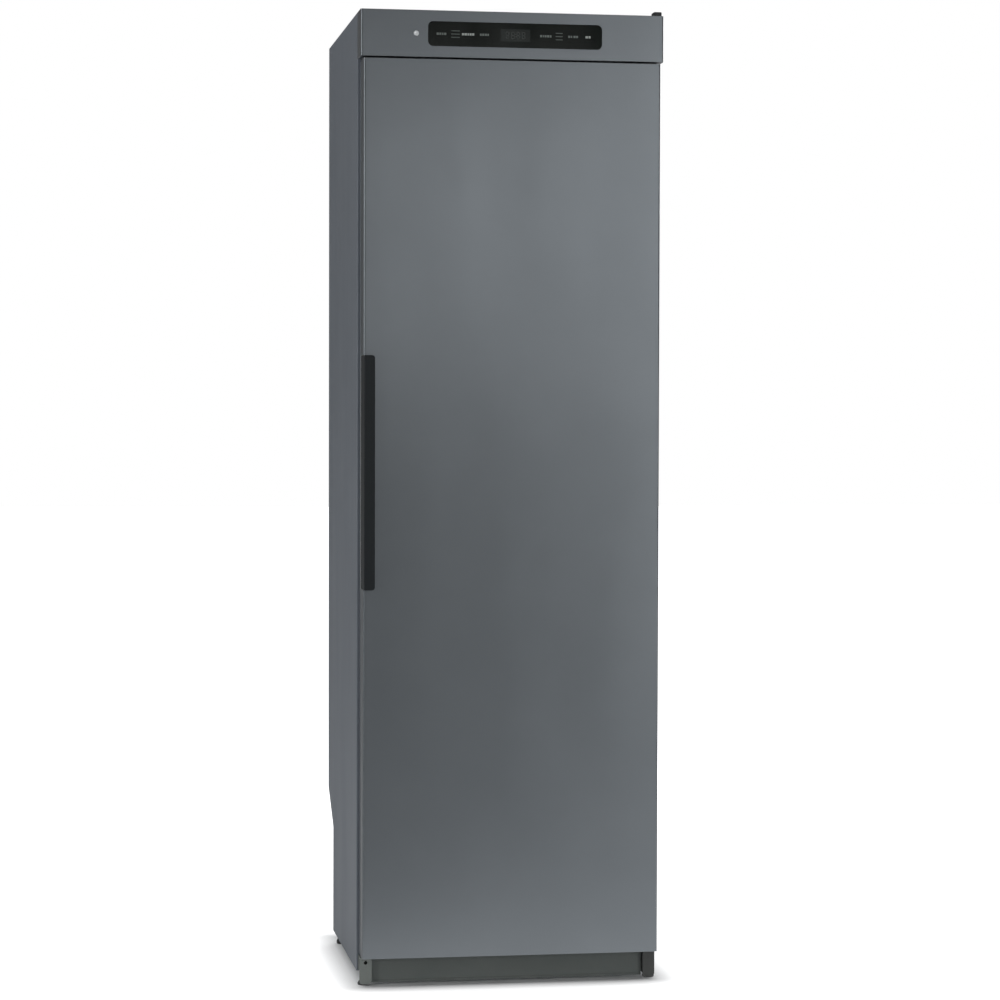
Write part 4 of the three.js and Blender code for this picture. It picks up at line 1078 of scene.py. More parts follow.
BRACKET_BLACK = Finish(
    "black bracket paint", (40, 44, 43), (31, 34, 34), (0.38, 0.48), Pattern.ENAMEL,
    contrast=0.4, metal=0.2, wear=0.5, worn=(112, 114, 114), dust=0.2,
)
BLACK_PANE = Finish(
    "black pane", (15, 20, 17), (11, 16, 13), (0.07, 0.13), Pattern.ENAMEL, size=6.0,
    contrast=0.3, relief=0.002, wear=0.0, dust=0.03,
)
DISPLAY_PANE = Finish(
    "display pane", (30, 35, 33), (25, 30, 28), (0.1, 0.16), Pattern.ENAMEL, size=3.0,
    contrast=0.3, relief=0.002, wear=0.0, dust=0.0,
)
UNLIT_SEGMENT = Finish(
    "unlit segment", (44, 50, 47), (38, 44, 42), (0.25, 0.35), Pattern.ENAMEL,
    contrast=0.3, relief=0.002, wear=0.0, dust=0.0,
)
PALE_PRINT = Finish(
    "pale print", (172, 178, 174), (150, 156, 152), (0.4, 0.5), Pattern.MOULDED, size=0.3,
    relief=0.003, wear=0.0, dust=0.0,
)
DIM_PRINT = replace(PALE_PRINT, name="dim print", colour=(108, 116, 112), tint=(92, 99, 95))
FAINT_PRINT = replace(PALE_PRINT, name="faint print", colour=(80, 88, 84), tint=(66, 73, 69))
SILVER = Finish(
    "satin silver", (232, 235, 236), (215, 218, 220), (0.25, 0.32), Pattern.BRUSHED, size=0.2,
    stretch=(0.08, 1.0, 1.0), relief=0.003, metal=0.45, wear=0.1, dust=0.03,
)
RUBBER = Finish(
    "grey seal", (116, 119, 121), (104, 107, 109), (0.6, 0.72), Pattern.MOULDED, size=0.4,
    relief=0.01, specular=0.3, wear=0.1, dust=0.1,
)
FOAM = Finish(
    "foam filling", (222, 208, 168), (204, 188, 146), (0.9, 0.97), Pattern.FOAM, size=1.6,
    contrast=0.8, relief=0.3, specular=0.2, wear=0.0, dust=0.0,
)
BOARD = Finish(
    "board lacquer", (38, 98, 66), (28, 80, 53), (0.35, 0.45), Pattern.WEAVE, size=5.0,
    contrast=0.9, relief=0.03, wear=0.0, dust=0.1,
)
BARE_ALUMINIUM = Finish(
    "mill aluminium", (200, 203, 205), (178, 181, 184), (0.28, 0.4), Pattern.BRUSHED, size=0.5,
    stretch=(1.0, 1.0, 0.05), contrast=0.8, relief=0.006, metal=1.0, wear=0.1, dust=0.15,
)
COPPER = Finish(
    "dull copper", (196, 118, 78), (158, 88, 58), (0.28, 0.42), Pattern.BRUSHED, size=3.0,
    contrast=0.9, relief=0.01, metal=1.0, wear=0.1, worn=(96, 70, 52), dust=0.1,
)
BLACK_ENAMEL = Finish(
    "black enamel", (27, 28, 30), (20, 21, 22), (0.24, 0.34), Pattern.ENAMEL, size=2.0,
    contrast=0.4, relief=0.05, coat=0.4, wear=0.4, worn=(96, 94, 90), dust=0.25,
)
STEEL_SCREW = Finish(
    "zinc plated screw", (196, 198, 196), (168, 171, 170), (0.25, 0.38), Pattern.BRUSHED, size=0.3,
    contrast=0.6, relief=0.01, metal=1.0, wear=0.2, worn=(120, 118, 112), dust=0.1,
)
FILTER_CLOTH = Finish(
    "filter cloth", (150, 154, 156), (118, 122, 125), (0.75, 0.85), Pattern.WEAVE, size=0.8,
    contrast=1.0, relief=0.15, specular=0.2, wear=0.0, dust=0.2,
)

SLOT_FINISH = {
    "anthracite_front": FRONT_METAL,
    "side_paint": SIDE_PAINT,
    "zinc_sheet": ZINC,
    "chamber_lining": LINING,
    "door_lining": DOOR_LINING,
    "stainless": STAINLESS,
    "black_plastic": BLACK_MOULDING,
    "handle_plastic": HANDLE_MOULDING,
    "plinth_plastic": PLINTH_MOULDING,
    "bracket_paint": BRACKET_PAINT,
    "bracket_dark": BRACKET_BLACK,
    "black_window": BLACK_PANE,
    "silver_plastic": SILVER,
    "insulation": FOAM,
    "circuit_board": BOARD,
    "coil_aluminium": BARE_ALUMINIUM,
    "compressor_paint": BLACK_ENAMEL,
    "copper_pipe": COPPER,
    "door_seal": RUBBER,
}

# ---------------- pieces on the frame

NODE_SLOT = {part["node"]: part["material_slot"] for part in frame["record"]["subparts"]}
LEFT, RIGHT = (-1, 0, 0), (1, 0, 0)
FRONT, BACK = (0, -1, 0), (0, 1, 0)
DOWN, UP = (0, 0, -1), (0, 0, 1)
SCREW_SIDES = 16
SCREW_RADIUS = 3.6 * MM
# Distance from the head's middle and height above its seat, as shares of its radius.
SCREW_PROFILE = ((0, 0.3), (0.28, 0.3), (0.4, 0.52), (0.75, 0.46), (0.95, 0.25), (1.0, 0.0), (0, 0))


class Room(NamedTuple):
    """The lowest and highest corner of what a node fills."""

    low: Vector
    high: Vector

    @classmethod
    def of(cls, node: str) -> "Room":
        """The room of a node of the frame."""
        return cls(*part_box(node))

    @property
    def middle(self) -> Vector:
        """The room's centre."""
        return (self.low + self.high) / 2

    @property
    def size(self) -> Vector:
        """The room's width, depth and height."""
        return self.high - self.low


def body_of(node: str) -> str:
    """The body that a node of the frame moves with."""
    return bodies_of(frame["nodes"][node])[0]


def joint_place(name: str) -> Vector:
    """The point that a joint of the frame turns about."""
    joints = frame["record"]["behaviour"]["joints"]
    return Vector(next(joint["pos_m"] for joint in joints if joint["name"] == name))


def place_object(name: str, data: bpy.types.ID) -> bpy.types.Object:
    """Puts an object in the scene.

    Args:
        name: Its name.
        data: Its mesh, light or camera.

    Returns:
        The object.
    """
    made = bpy.data.objects.new(name, data)
    bpy.context.scene.collection.objects.link(made)
    return made


def fit(shape: Shape, name: str, node: str, *finishes: Finish, hides: bool = True) -> bpy.types.Object:
    """Turns a finished shape into a piece that moves with a node of the frame.

    Args:
        shape: The shape, in place.
        name: The piece's name.
        node: The node that it stands for or belongs to.
        finishes: Its finishes, or none for the node's own.
        hides: Whether the piece stands for the node, which then isn't shown.

    Returns:
        The piece.
    """
    mesh = bpy.data.meshes.new(name)
    shape.mesh.to_mesh(mesh)
    shape.mesh.free()
    mesh.polygons.foreach_set("use_smooth", [True] * len(mesh.polygons))
    mesh.set_sharp_from_angle(angle=SHARP_ANGLE)
    piece = place_object(name, mesh)
    for finish in finishes or (SLOT_FINISH[NODE_SLOT[node]],):
        mesh.materials.append(finish.material())
    shading = piece.modifiers.new("Even shading", "WEIGHTED_NORMAL")
    shading.keep_sharp = True
    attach(piece, body_of(node))
    if hides:
        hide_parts(node)
    LOG.info("%s: %d faces on %s", name, len(mesh.polygons), node)
    return piece


def dress(node: str) -> None:
    """Gives a node that stays in sight its finish.

    Args:
        node: The node's name.
    """
    finish = SLOT_FINISH[NODE_SLOT[node]]
    for slot in frame["nodes"][node].material_slots:
        slot.material = finish.material()
    LOG.info("%s keeps its shape, in %s", node, finish.name)


def screw(place: Place, axis: Place, radius: float = SCREW_RADIUS) -> Shape:
    """A round screw head with a recess, its seat at a point, in the piece's second finish."""
    profile = [(across * radius, up * radius) for across, up in SCREW_PROFILE]
    return Shape.turned(profile, place, axis, sides=SCREW_SIDES).paint(1)


def screws(
    xs: Place, ys: Place, zs: Place, axis: Place, radius: float = SCREW_RADIUS,
) -> list[Shape]:
    """Screw heads wherever the given places on the three axes meet, all facing one way."""
    return [screw(place, axis, radius) for place in product(xs, ys, zs)]


# ---------------- the door


@dataclass
class Door:
    """The door: a folded sheet over a foam core, moulded ends, a lining, a seal and an edge handle."""

    corner: float = 4 * MM
    sheet: float = 1 * MM
    pocket: float = 6.3 * MM
    play: float = 0.3 * MM
    cap_round: float = 0.6 * MM
    dyke_gap: float = 14.7 * MM
    dyke_bottom: float = 335 * MM
    dyke_top: float = 1757 * MM
    dyke_round: float = 3 * MM
    dyke_slope: float = 5 * MM
    dyke_width: float = 26 * MM
    dyke_rise: float = 12 * MM
    field_drop: float = 9 * MM
    seal_corner: float = 14 * MM
    handle_plate: float = 5 * MM
    handle_leg: float = 6 * MM
    handle_lip: float = 3 * MM
    handle_end: float = 8 * MM
    handle_corner: float = 6 * MM
    handle_round: float = 2.2 * MM
    handle_groove: float = 0.7 * MM
    handle_edge: float = 1 * MM
    seal_width: float = 10 * MM
    seal_round: float = 1.6 * MM

    def skin(self) -> Shape:
        """The front sheet, folded round both edges, with a pocket for the handle's leg.

        Returns:
            The skin.
        """
        room, handle = Room.of("door_skin"), Room.of("door_handle")
        low, high = room
        bottom, top = handle.low.z - self.play, handle.high.z + self.play
        wall = low.x + self.pocket
        flat = Outline.between((low.x + self.corner, low.z), (high.x - self.corner, high.z))
        shape = Shape.sheet(Axis.Y, low.y, flat)
        shape.score((0, 0, bottom), UP).score((0, 0, top), UP).score((wall, 0, 0), RIGHT)
        shape.trim(lambda at: at.x < wall and bottom < at.z < top)
        shape.fold(lambda at: abs(at.x - wall) < self.play and bottom < at.z < top, (0, room.size.y, 0))
        return shape.fold_back(room, self.corner).thicken(self.sheet, FRONT)

    def lining(self) -> Shape:
        """The inner lining: a rim, a raised dyke that enters the chamber, and a field set back inside it.

        Returns:
            The lining.
        """
        low, high = Room.of("door_liner")
        rim, crown = high.y - self.dyke_rise, high.y + MM
        right = Room.of("chamber_floor").high.x - self.dyke_gap
        left, bottom, top = -right, self.dyke_bottom, self.dyke_top
        outer = Outline.between((low.x, low.z), (high.x, high.z), self.corner)
        shape = Shape.plate(Axis.Y, (low.y, rim), outer)
        shape.field((left, rim - MM, bottom), (right, rim + MM, top), self.dyke_slope, self.dyke_rise)
        shape.press(inside((left, high.y - MM, bottom), (right, crown, top)), self.dyke_width, 0)
        inset = self.dyke_slope + self.dyke_width
        middle = inside(
            (left + inset, high.y - MM, bottom + inset), (right - inset, crown, top - inset),
        )
        shape.press(middle, self.dyke_slope, -self.field_drop)
        shape.soften(self.dyke_round, where=lambda at, along: at.y > rim + MM)
        # Painted shade: the rim's outer sides take the darker second finish.
        for face in shape.mesh.faces:
            if abs(face.normal.y) < MOSTLY and face.calc_center_median().y < rim:
                face.material_index = 1
        return shape

    def seal(self) -> Shape:
        """The magnetic seal: a soft ring with rounded edges.

        Returns:
            The seal.
        """
        low, high = Room.of("door_gasket")
        outer = Outline.between((low.x, low.z), (high.x, high.z), self.seal_corner)
        inner = Outline(
            outer.u, outer.v, outer.width - 2 * self.seal_width, outer.height - 2 * self.seal_width,
            self.seal_corner - self.seal_width / 2,
        )
        return Shape.plate(Axis.Y, (low.y, high.y), outer, [inner]).soften(self.seal_round)

    def handle(self) -> Shape:
        """The edge handle: a front plate with a finger channel behind it, and a leg along the door's edge.

        Returns:
            The handle.
        """
        low, high = Room.of("door_handle")
        plate_back, leg = low.y + self.handle_plate, low.x + self.handle_leg
        channel_back = Room.of("door_skin").low.y
        shape = Shape.block(low, (high.x, plate_back, high.z))
        shape.soften(
            self.handle_corner, CORNER_STEPS, lambda at, along: abs(along.y) > MOSTLY and at.x > leg,
        )
        shape.soften(self.handle_round, steps=6, where=lambda at, along: at.y < low.y + MERGE_DISTANCE)
        groove = self.handle_groove
        stem_low = (low.x + groove, plate_back - groove, low.z + groove)
        stem = Shape.block(stem_low, (leg, high.y, high.z - groove))
        side = Shape.block((low.x, plate_back + groove, low.z), (leg, high.y, high.z))
        side.soften(self.handle_edge, steps=4, where=lambda at, along: abs(along.x) < MOSTLY)
        lip_low = (high.x - self.handle_lip, plate_back - groove, low.z + self.handle_end)
        lip = Shape.block(lip_low, (high.x, plate_back + self.handle_lip, high.z - self.handle_end))
        shape.add(stem, side, lip.soften(self.handle_edge, steps=4))
        for start, end in ((low.z, low.z + self.handle_end), (high.z - self.handle_end, high.z)):
            block_low = (leg - MM, plate_back - groove, start + groove)
            block = Shape.block(block_low, (high.x - MM, channel_back, end - groove))
            shape.add(block.soften(self.handle_edge, steps=4))
        return shape

    def filling(self) -> Shape:
        """The foam between the skin and the lining.

        Returns:
            The filling.
        """
        low, high = Room.of("door_core")
        back = Room.of("door_liner").low.y - self.play
        return Shape.block(low, (high.x, back, high.z)).soften(self.corner / 2)

    def dress(self) -> None:
        """Builds and places the door's pieces."""
        fit(self.skin(), "door_front_sheet", "door_skin")
        fit(self.handle(), "edge_handle", "door_handle")
        for node in ("door_top_cap", "door_bottom_cap"):
            fit(Shape.copy_of(node).soften(self.cap_round, steps=2), f"{node}_moulding", node)
        fit(self.lining(), "door_inner_lining", "door_liner", DOOR_LINING, DOOR_RIM_PAINTED_SHADE)
        fit(self.filling(), "door_foam_block", "door_core")
        fit(self.seal(), "door_soft_seal", "door_gasket")


# ---------------- the control panel


@dataclass
class ControlPanel:
    """The fascia above the door, its window, keys, display, button and board."""

    corner: float = 4 * MM
    wall: float = 2.5 * MM
    play: float = 0.3 * MM
    edge_round: float = 0.7 * MM
    window_width: float = 342 * MM
    window_height: float = 48 * MM
    window_corner: float = 10 * MM
    window_centre: float = 4 * MM
    window_round: float = 0.35 * MM
    window_rim: float = 4 * MM
    keys: int = 6
    key_width: float = 24 * MM
    key_height: float = 16 * MM
    key_corner: float = 3 * MM
    key_round: float = 0.3 * MM
    key_collar: float = 1.5 * MM
    button_radius: float = 5 * MM
    button_face: tuple[tuple[float, float], ...] = (
        (0, 0.04), (0.55, 0.05), (0.62, 0), (0.84, 0), (0.96, 0.06), (1, 0.18),
    )
    button_collar: float = 2 * MM
    print_rise: float = 0.08 * MM
    letter_height: float = 4.2 * MM
    letter_width: float = 3.6 * MM
    letter_gap: float = 1.3 * MM
    lamp_places: tuple[tuple[float, float], ...] = ((-122 * MM, -105 * MM), (83 * MM, 97 * MM))
    lamp_rows: int = 3
    lamp_pitch: float = 6.2 * MM
    lamp_height: float = 1.8 * MM
    digit_width: float = 6.5 * MM
    digit_height: float = 12 * MM
    digit_stroke: float = 1.3 * MM
    segment_gap: float = 0.3 * MM
    digits: int = 4
    digit_gap: float = 4 * MM
    colon_rise: float = 2.4 * MM
    chips: int = 9
    chip_start: float = 20 * MM
    chip_pitch: float = 38 * MM
    chip_widths: tuple[float, ...] = (14 * MM, 19 * MM, 24 * MM)
    chip_heights: tuple[float, ...] = (9 * MM, 13 * MM)
    chip_rise: float = 3 * MM
    chip_round: float = 0.4 * MM

    def __post_init__(self) -> None:
        """Finds the panel's front, how deep its caps and marks reach, and the height of its middle."""
        self.room = Room.of("control_fascia")
        self.front = self.room.low.y
        self.cap_back = self.front + 2 * self.wall
        self.collar_back = self.front + 3 * self.wall
        self.print_limits = (self.front - self.print_rise, self.front + self.print_rise)
        self.level = Room.of("key_1").middle.z

    def fascia(self) -> Shape:
        """The fascia: a folded front with openings for the window and the button.

        Returns:
            The fascia.
        """
        low, high = self.room
        opening = Outline(
            self.window_centre, self.level, self.window_width, self.window_height, self.window_corner,
        )
        hole = Outline.circle(Room.of("power_button").middle.x, self.level, self.button_radius + self.play)
        inner, edge = low.y + self.corner, high.x - self.corner
        flat = Outline.between((-edge, low.z), (edge, high.z))
        shape = Shape.sheet(Axis.Y, low.y, flat, [opening, hole])
        shape.fold_back(self.room, self.corner).thicken(self.wall, FRONT)
        half = self.wall / 2
        lip = Outline.between(
            (low.x + half, low.y + half), (high.x - half, high.y), self.corner / 2,
        )
        shape.add(Shape.plate(Axis.Z, (low.z, low.z + self.wall), lip))
        shape.add(Shape.plate(Axis.Z, (high.z - self.wall, high.z), lip))

        def is_end(at: Vector, along: Vector) -> bool:
            """Whether an edge runs round the front of the fascia's top or bottom."""
            at_end = min(at.z - low.z, high.z - at.z) < MERGE_DISTANCE
            return at_end and at.y < inner and abs(along.z) < MOSTLY

        return shape.soften(self.edge_round, where=is_end)

    def window(self) -> Shape:
        """The black pane, with a hole for each key.

        Returns:
            The pane.
        """
        back = Room.of("control_window").high.y
        outline = Outline(
            self.window_centre, self.level, self.window_width - 2 * self.play,
            self.window_height - 2 * self.play, self.window_corner - self.play,
        )
        holes = [self.key_outline(f"key_{number + 1}", self.play) for number in range(self.keys)]
        pane = Shape.plate(Axis.Y, (self.front, self.cap_back), outline, holes)
        pane.soften(self.window_round, where=lambda at, along: at.y < self.front + MERGE_DISTANCE)
        rims = 2 * self.window_rim
        inner = outline._replace(width=outline.width - rims, height=outline.height - rims)
        return pane.add(Shape.plate(Axis.Y, (self.cap_back, back), outline._replace(radius=0), [inner]))

    def key_outline(self, node: str, play: float = 0.0) -> Outline:
        """The outline of a key, or of the hole for it.

        Args:
            node: The key's node.
            play: How far the outline stands off the key.

        Returns:
            The outline.
        """
        middle = Room.of(node).middle
        grow = 2 * play
        return Outline(
            middle.x, middle.z, self.key_width + grow, self.key_height + grow, self.key_corner + play,
        )

    def key(self, node: str, letters: Sequence[float]) -> Shape:
        """A key cap with its stem and a row of plain marks.

        Args:
            node: The key's node.
            letters: The width of each mark as a share of the usual one, or 0 for a space.

        Returns:
            The key.
        """
        room = Room.of(node)
        middle = room.middle
        cap = Shape.plate(Axis.Y, (self.front, self.cap_back), self.key_outline(node))
        cap.soften(self.key_round, where=lambda at, along: at.y < self.front + MERGE_DISTANCE)
        collar = self.key_outline(node, self.key_collar)
        cap.add(Shape.plate(Axis.Y, (self.cap_back, self.collar_back), collar))
        stem_start = (middle.x, self.collar_back, middle.z)
        cap.add(Shape.rod(stem_start, (middle.x, room.high.y, middle.z), self.key_corner))
        step = self.letter_gap
        total = sum(width * self.letter_width for width in letters) + step * (len(letters) - 1)
        left = middle.x - total / 2
        for share in letters:
            width = share * self.letter_width
            if share:
                cap.add(self.mark(left, left + width, middle.z, self.letter_height, 1))
            left += width + step
        return cap

    def mark(self, left: float, right: float, level: float, height: float, finish: int) -> Shape:
        """A flat printed mark on the panel's front."""
        outline = Outline.between((left, level - height / 2), (right, level + height / 2))
        return Shape.plate(Axis.Y, self.print_limits, outline).paint(finish)

    def lamps(self, left: float, right: float) -> Shape:
        """A stack of unlit indicator bars between two limits.

        Args:
            left: Their left end.
            right: Their right end.

        Returns:
            The bars.
        """
        stack = Shape()
        for row in range(self.lamp_rows):
            level = self.level + (row - (self.lamp_rows - 1) / 2) * self.lamp_pitch
            stack.add(self.mark(left, right, level, self.lamp_height, 1))
        return stack

    def digit(self, left: float) -> Shape:
        """The seven unlit segments of one digit.

        Args:
            left: The digit's left side.

        Returns:
            The segments.
        """
        shape = Shape()
        right, half, stroke = left + self.digit_width, self.digit_height / 2, self.digit_stroke
        for level in (self.level - half, self.level, self.level + half):
            shape.add(self.mark(left + stroke, right - stroke, level, stroke, 1))
        for side in (left + stroke / 2, right - stroke / 2):
            for level in (self.level - half / 2, self.level + half / 2):
                height = half - stroke - self.segment_gap
                shape.add(self.mark(side - stroke / 2, side + stroke / 2, level, height, 1))
        return shape

    def display(self) -> Shape:
        """The display's slightly lighter area in the window, with four unlit digits.

        Returns:
            The display's face.
        """
        room = Room.of("display_module")
        area = self.mark(room.low.x, room.high.x, self.level, room.size.z, 0)
        area.move((0, self.print_rise / 2, 0))
        pitch = self.digit_width + self.digit_gap
        start = room.middle.x + (self.digit_gap - self.digits * pitch) / 2
        for number in range(self.digits):
            area.add(self.digit(start + number * pitch))
        dot = self.digit_stroke
        for level in (self.level - self.colon_rise, self.level + self.colon_rise):
            area.add(self.mark(room.middle.x - dot / 2, room.middle.x + dot / 2, level, dot, 1))
        return area

    def button(self) -> Shape:
        """The round button: a crowned cap on a collar and a stem.

        Returns:
            The button.
        """
        # The face is given as distances from its middle and drops from its top, as shares of the radius.
        room = Room.of("power_button")
        radius, length = self.button_radius, room.size.y
        collar, collar_radius = length - 3 * self.wall, radius + self.button_collar
        face = [(across * radius, length - drop * radius) for across, drop in self.button_face]
        profile = [
            *face, (radius, collar + MM), (collar_radius, collar + MM), (collar_radius, collar - MM),
            (radius / 2, collar - MM), (radius / 2, 0), (0, 0),
        ]
        return Shape.turned(profile, (room.middle.x, room.high.y, room.middle.z), FRONT)

    def board(self) -> Shape:
        """The control board with a row of chips on its rear.

        Returns:
            The board.
        """
        room = Room.of("control_board")
        rear = room.high.y
        shape = Shape.copy_of("control_board")
        for number in range(self.chips):
            left = room.low.x + self.chip_start + self.chip_pitch * number
            right = left + self.chip_widths[number % len(self.chip_widths)]
            half = self.chip_heights[number % len(self.chip_heights)] / 2
            chip = Shape.block(
                (left, rear, self.level - half), (right, rear + self.chip_rise, self.level + half),
            )
            shape.add(chip.soften(self.chip_round, steps=1).paint(1))
        return shape

    def dress(self) -> None:
        """Builds and places the control panel's pieces."""
        fit(self.fascia(), "fascia_moulding", "control_fascia")
        fit(self.window(), "window_pane", "control_window")
        labels = {
            "key_1": ((1.2, 1, 0.8, 1.2), DIM_PRINT),
            "key_2": ((1, 1.3, 0.8, 1, 1.1), PALE_PRINT),
            "key_3": ((0.9, 1.1, 1, 0.8), DIM_PRINT),
            "key_4": ((1.2, 0.6, 1, 1.1, 0.9), DIM_PRINT),
            "key_5": ((1, 0.8, 0, 1.1, 1), DIM_PRINT),
            "key_6": ((1.3, 1.1), PALE_PRINT),
        }
        for node, (letters, ink) in labels.items():
            fit(self.key(node, letters), f"{node}_cap", node, BLACK_PANE, ink)
        for side, limits in zip(("left", "right"), self.lamp_places):
            bars, name = self.lamps(*limits), f"indicator_bars_{side}"
            fit(bars, name, "control_window", BLACK_PANE, FAINT_PRINT, hides=False)
        fit(self.display(), "display_face", "display_module", DISPLAY_PANE, UNLIT_SEGMENT, hides=False)
        fit(self.button(), "round_button", "power_button")
        fit(self.board(), "circuit_board", "control_board", BOARD, BLACK_MOULDING)


# ---------------- the casing


@dataclass
class Casing:
    """The folded outer panels, and the machine compartment's cover."""

    sheet: float = 1.2 * MM
    bend: float = 2 * MM
    lid_margin: float = 40 * MM
    back_margin: float = 46 * MM
    step_low: float = 246 * MM
    step_top: float = 318 * MM
    step_depth: float = 103 * MM
    front_return: float = 33.5 * MM
    rear_return: float = 20 * MM
    bead_width: float = 1.5 * MM
    bead_rise: float = 1.5 * MM
    edge_round: float = 0.4 * MM
    screw_margin: float = 12 * MM
    cover_margin: float = 10 * MM
    screw_inset: float = 9 * MM
    back_rows: int = 7
    back_screw: float = 2.8 * MM
    recess_screw: float = 3 * MM
    recess_rows: tuple[float, float] = (40 * MM, 230 * MM)
    hoods: int = 5
    hood_limits: tuple[float, float] = (-195 * MM, -105 * MM)
    hood_level: float = 96.5 * MM
    hood_pitch: float = 14 * MM
    hood_radius: float = 3.4 * MM
    hood_sink: float = 0.2 * MM

    def side(self) -> Shape:
        """The left side panel, folded at its front and rear edges, with the step at the lower back.

        Returns:
            The panel.
        """
        low, high = Room.of("side_panel_left")
        front, rear = low.y + self.bend, high.y - self.bend
        shape = Shape.sheet(Axis.X, low.x, Outline.between((front, low.z), (rear, high.z)))
        step = rear - self.step_depth
        slope = Vector((0, self.step_low - self.step_top, self.step_depth))
        corner = Vector((0, step, self.step_low))
        shape.score((0, step, 0), BACK).score(corner, slope)
        shape.trim(lambda at: at.y > step and (at - corner).dot(slope) < 0)
        inner = low.x + self.bend
        shape.bend(lambda at: at.y < front + MERGE_DISTANCE, (inner, front, 0), UP)
        shape.fold(lambda at: at.y < low.y + MERGE_DISTANCE, (self.front_return - self.bend, 0, 0))
        shape.bend(lambda at: at.y > rear - MERGE_DISTANCE, (inner, rear, 0), DOWN)
        shape.fold(lambda at: at.y > high.y - MERGE_DISTANCE, (self.rear_return - self.bend, 0, 0))
        is_step = inside(
            (low.x - MM, step - MM, low.z + MM), (low.x + MERGE_DISTANCE, rear, self.step_top + MM),
        )
        return shape.fold(is_step, (self.rear_return, 0, 0)).thicken(self.sheet, LEFT)

    def lid(self) -> Shape:
        """The top panel, with a raised field and screws near its edges.

        Returns:
            The panel.
        """
        low, high = Room.of("top_panel")
        edge = self.lid_margin
        shape = Shape.block(low, high)
        shape.field(
            (low.x + edge, low.y + edge, high.z - MM), (high.x - edge, high.y - edge, high.z + MM),
            self.bead_width, self.bead_rise,
        )
        margin = self.screw_margin
        xs, ys = (low.x + margin, 0, high.x - margin), (low.y + margin, high.y - margin)
        return shape.soften(self.edge_round, steps=2).add(*screws(xs, ys, (high.z,), UP))

    def back(self) -> Shape:
        """The back panel, with two pressed fields and a row of screws along each side.

        Returns:
            The panel.
        """
        low, high = Room.of("back_panel")
        edge, inset = self.back_margin, self.screw_inset
        shape = Shape.block(low, high)
        middle = (low.z + high.z) / 2
        for bottom, top in ((low.z + edge, middle - edge / 2), (middle + edge / 2, high.z - edge)):
            field_low = (low.x + edge, high.y - MM, bottom)
            shape.field(field_low, (high.x - edge, high.y + MM, top), self.bead_width, self.bead_rise)
        pitch = (high.z - low.z - 2 * inset) / (self.back_rows - 1)
        levels = [low.z + inset + row * pitch for row in range(self.back_rows)]
        sides = (low.x + inset, high.x - inset)
        return shape.add(*screws(sides, (high.y,), levels, BACK, self.back_screw))

    def hood(self, level: float, outer: float) -> Shape:
        """The half-round hood over one air slot.

        Args:
            level: Its height.
            outer: The outer side of the panel that it sits on.

        Returns:
            The hood.
        """
        left, right = self.hood_limits
        cut = outer - self.hood_sink
        shape = Shape.rod((left, outer, level), (right, outer, level), self.hood_radius)
        shape.score((0, cut, 0), FRONT).trim(lambda at: at.y < cut)
        bmesh.ops.holes_fill(shape.mesh, edges=shape.mesh.edges[:], sides=0)
        return shape.turn_out()

    def recess(self) -> Shape:
        """The panel along the step, with a hood over each air slot and screws at its edges.

        Returns:
            The panel.
        """
        low, high = Room.of("recess_panel")
        outer, inset = low.y + self.sheet, self.screw_inset
        shape = Shape.copy_of("recess_panel")
        for row in range(self.hoods):
            shape.add(self.hood(self.hood_level + row * self.hood_pitch, outer))
        xs = (low.x + inset, 0, high.x - inset)
        return shape.add(*screws(xs, (outer,), self.recess_rows, BACK, self.recess_screw))

    def cover(self) -> Shape:
        """The machine compartment's cover behind the door, with six screws.

        Returns:
            The cover.
        """
        low, high = Room.of("compartment_cover")
        xs = (low.x + self.screw_margin, 0, high.x - self.screw_margin)
        zs = (low.z + self.cover_margin, high.z - self.cover_margin)
        return Shape.copy_of("compartment_cover").add(*screws(xs, (low.y,), zs, FRONT))

    def dress(self) -> None:
        """Builds and places the casing's pieces."""
        left = self.side()
        right = left.mirrored()
        fit(left, "side_sheet_left", "side_panel_left")
        fit(right, "side_sheet_right", "side_panel_right")
        fit(self.lid(), "top_sheet", "top_panel", SIDE_PAINT, STEEL_SCREW)
        fit(self.back(), "back_sheet", "back_panel", ZINC, STEEL_SCREW)
        fit(self.recess(), "recess_sheet", "recess_panel", ZINC, STEEL_SCREW)
        fit(self.cover(), "machine_cover", "compartment_cover", SIDE_PAINT, STEEL_SCREW)


# ---------------- the base and the hinges


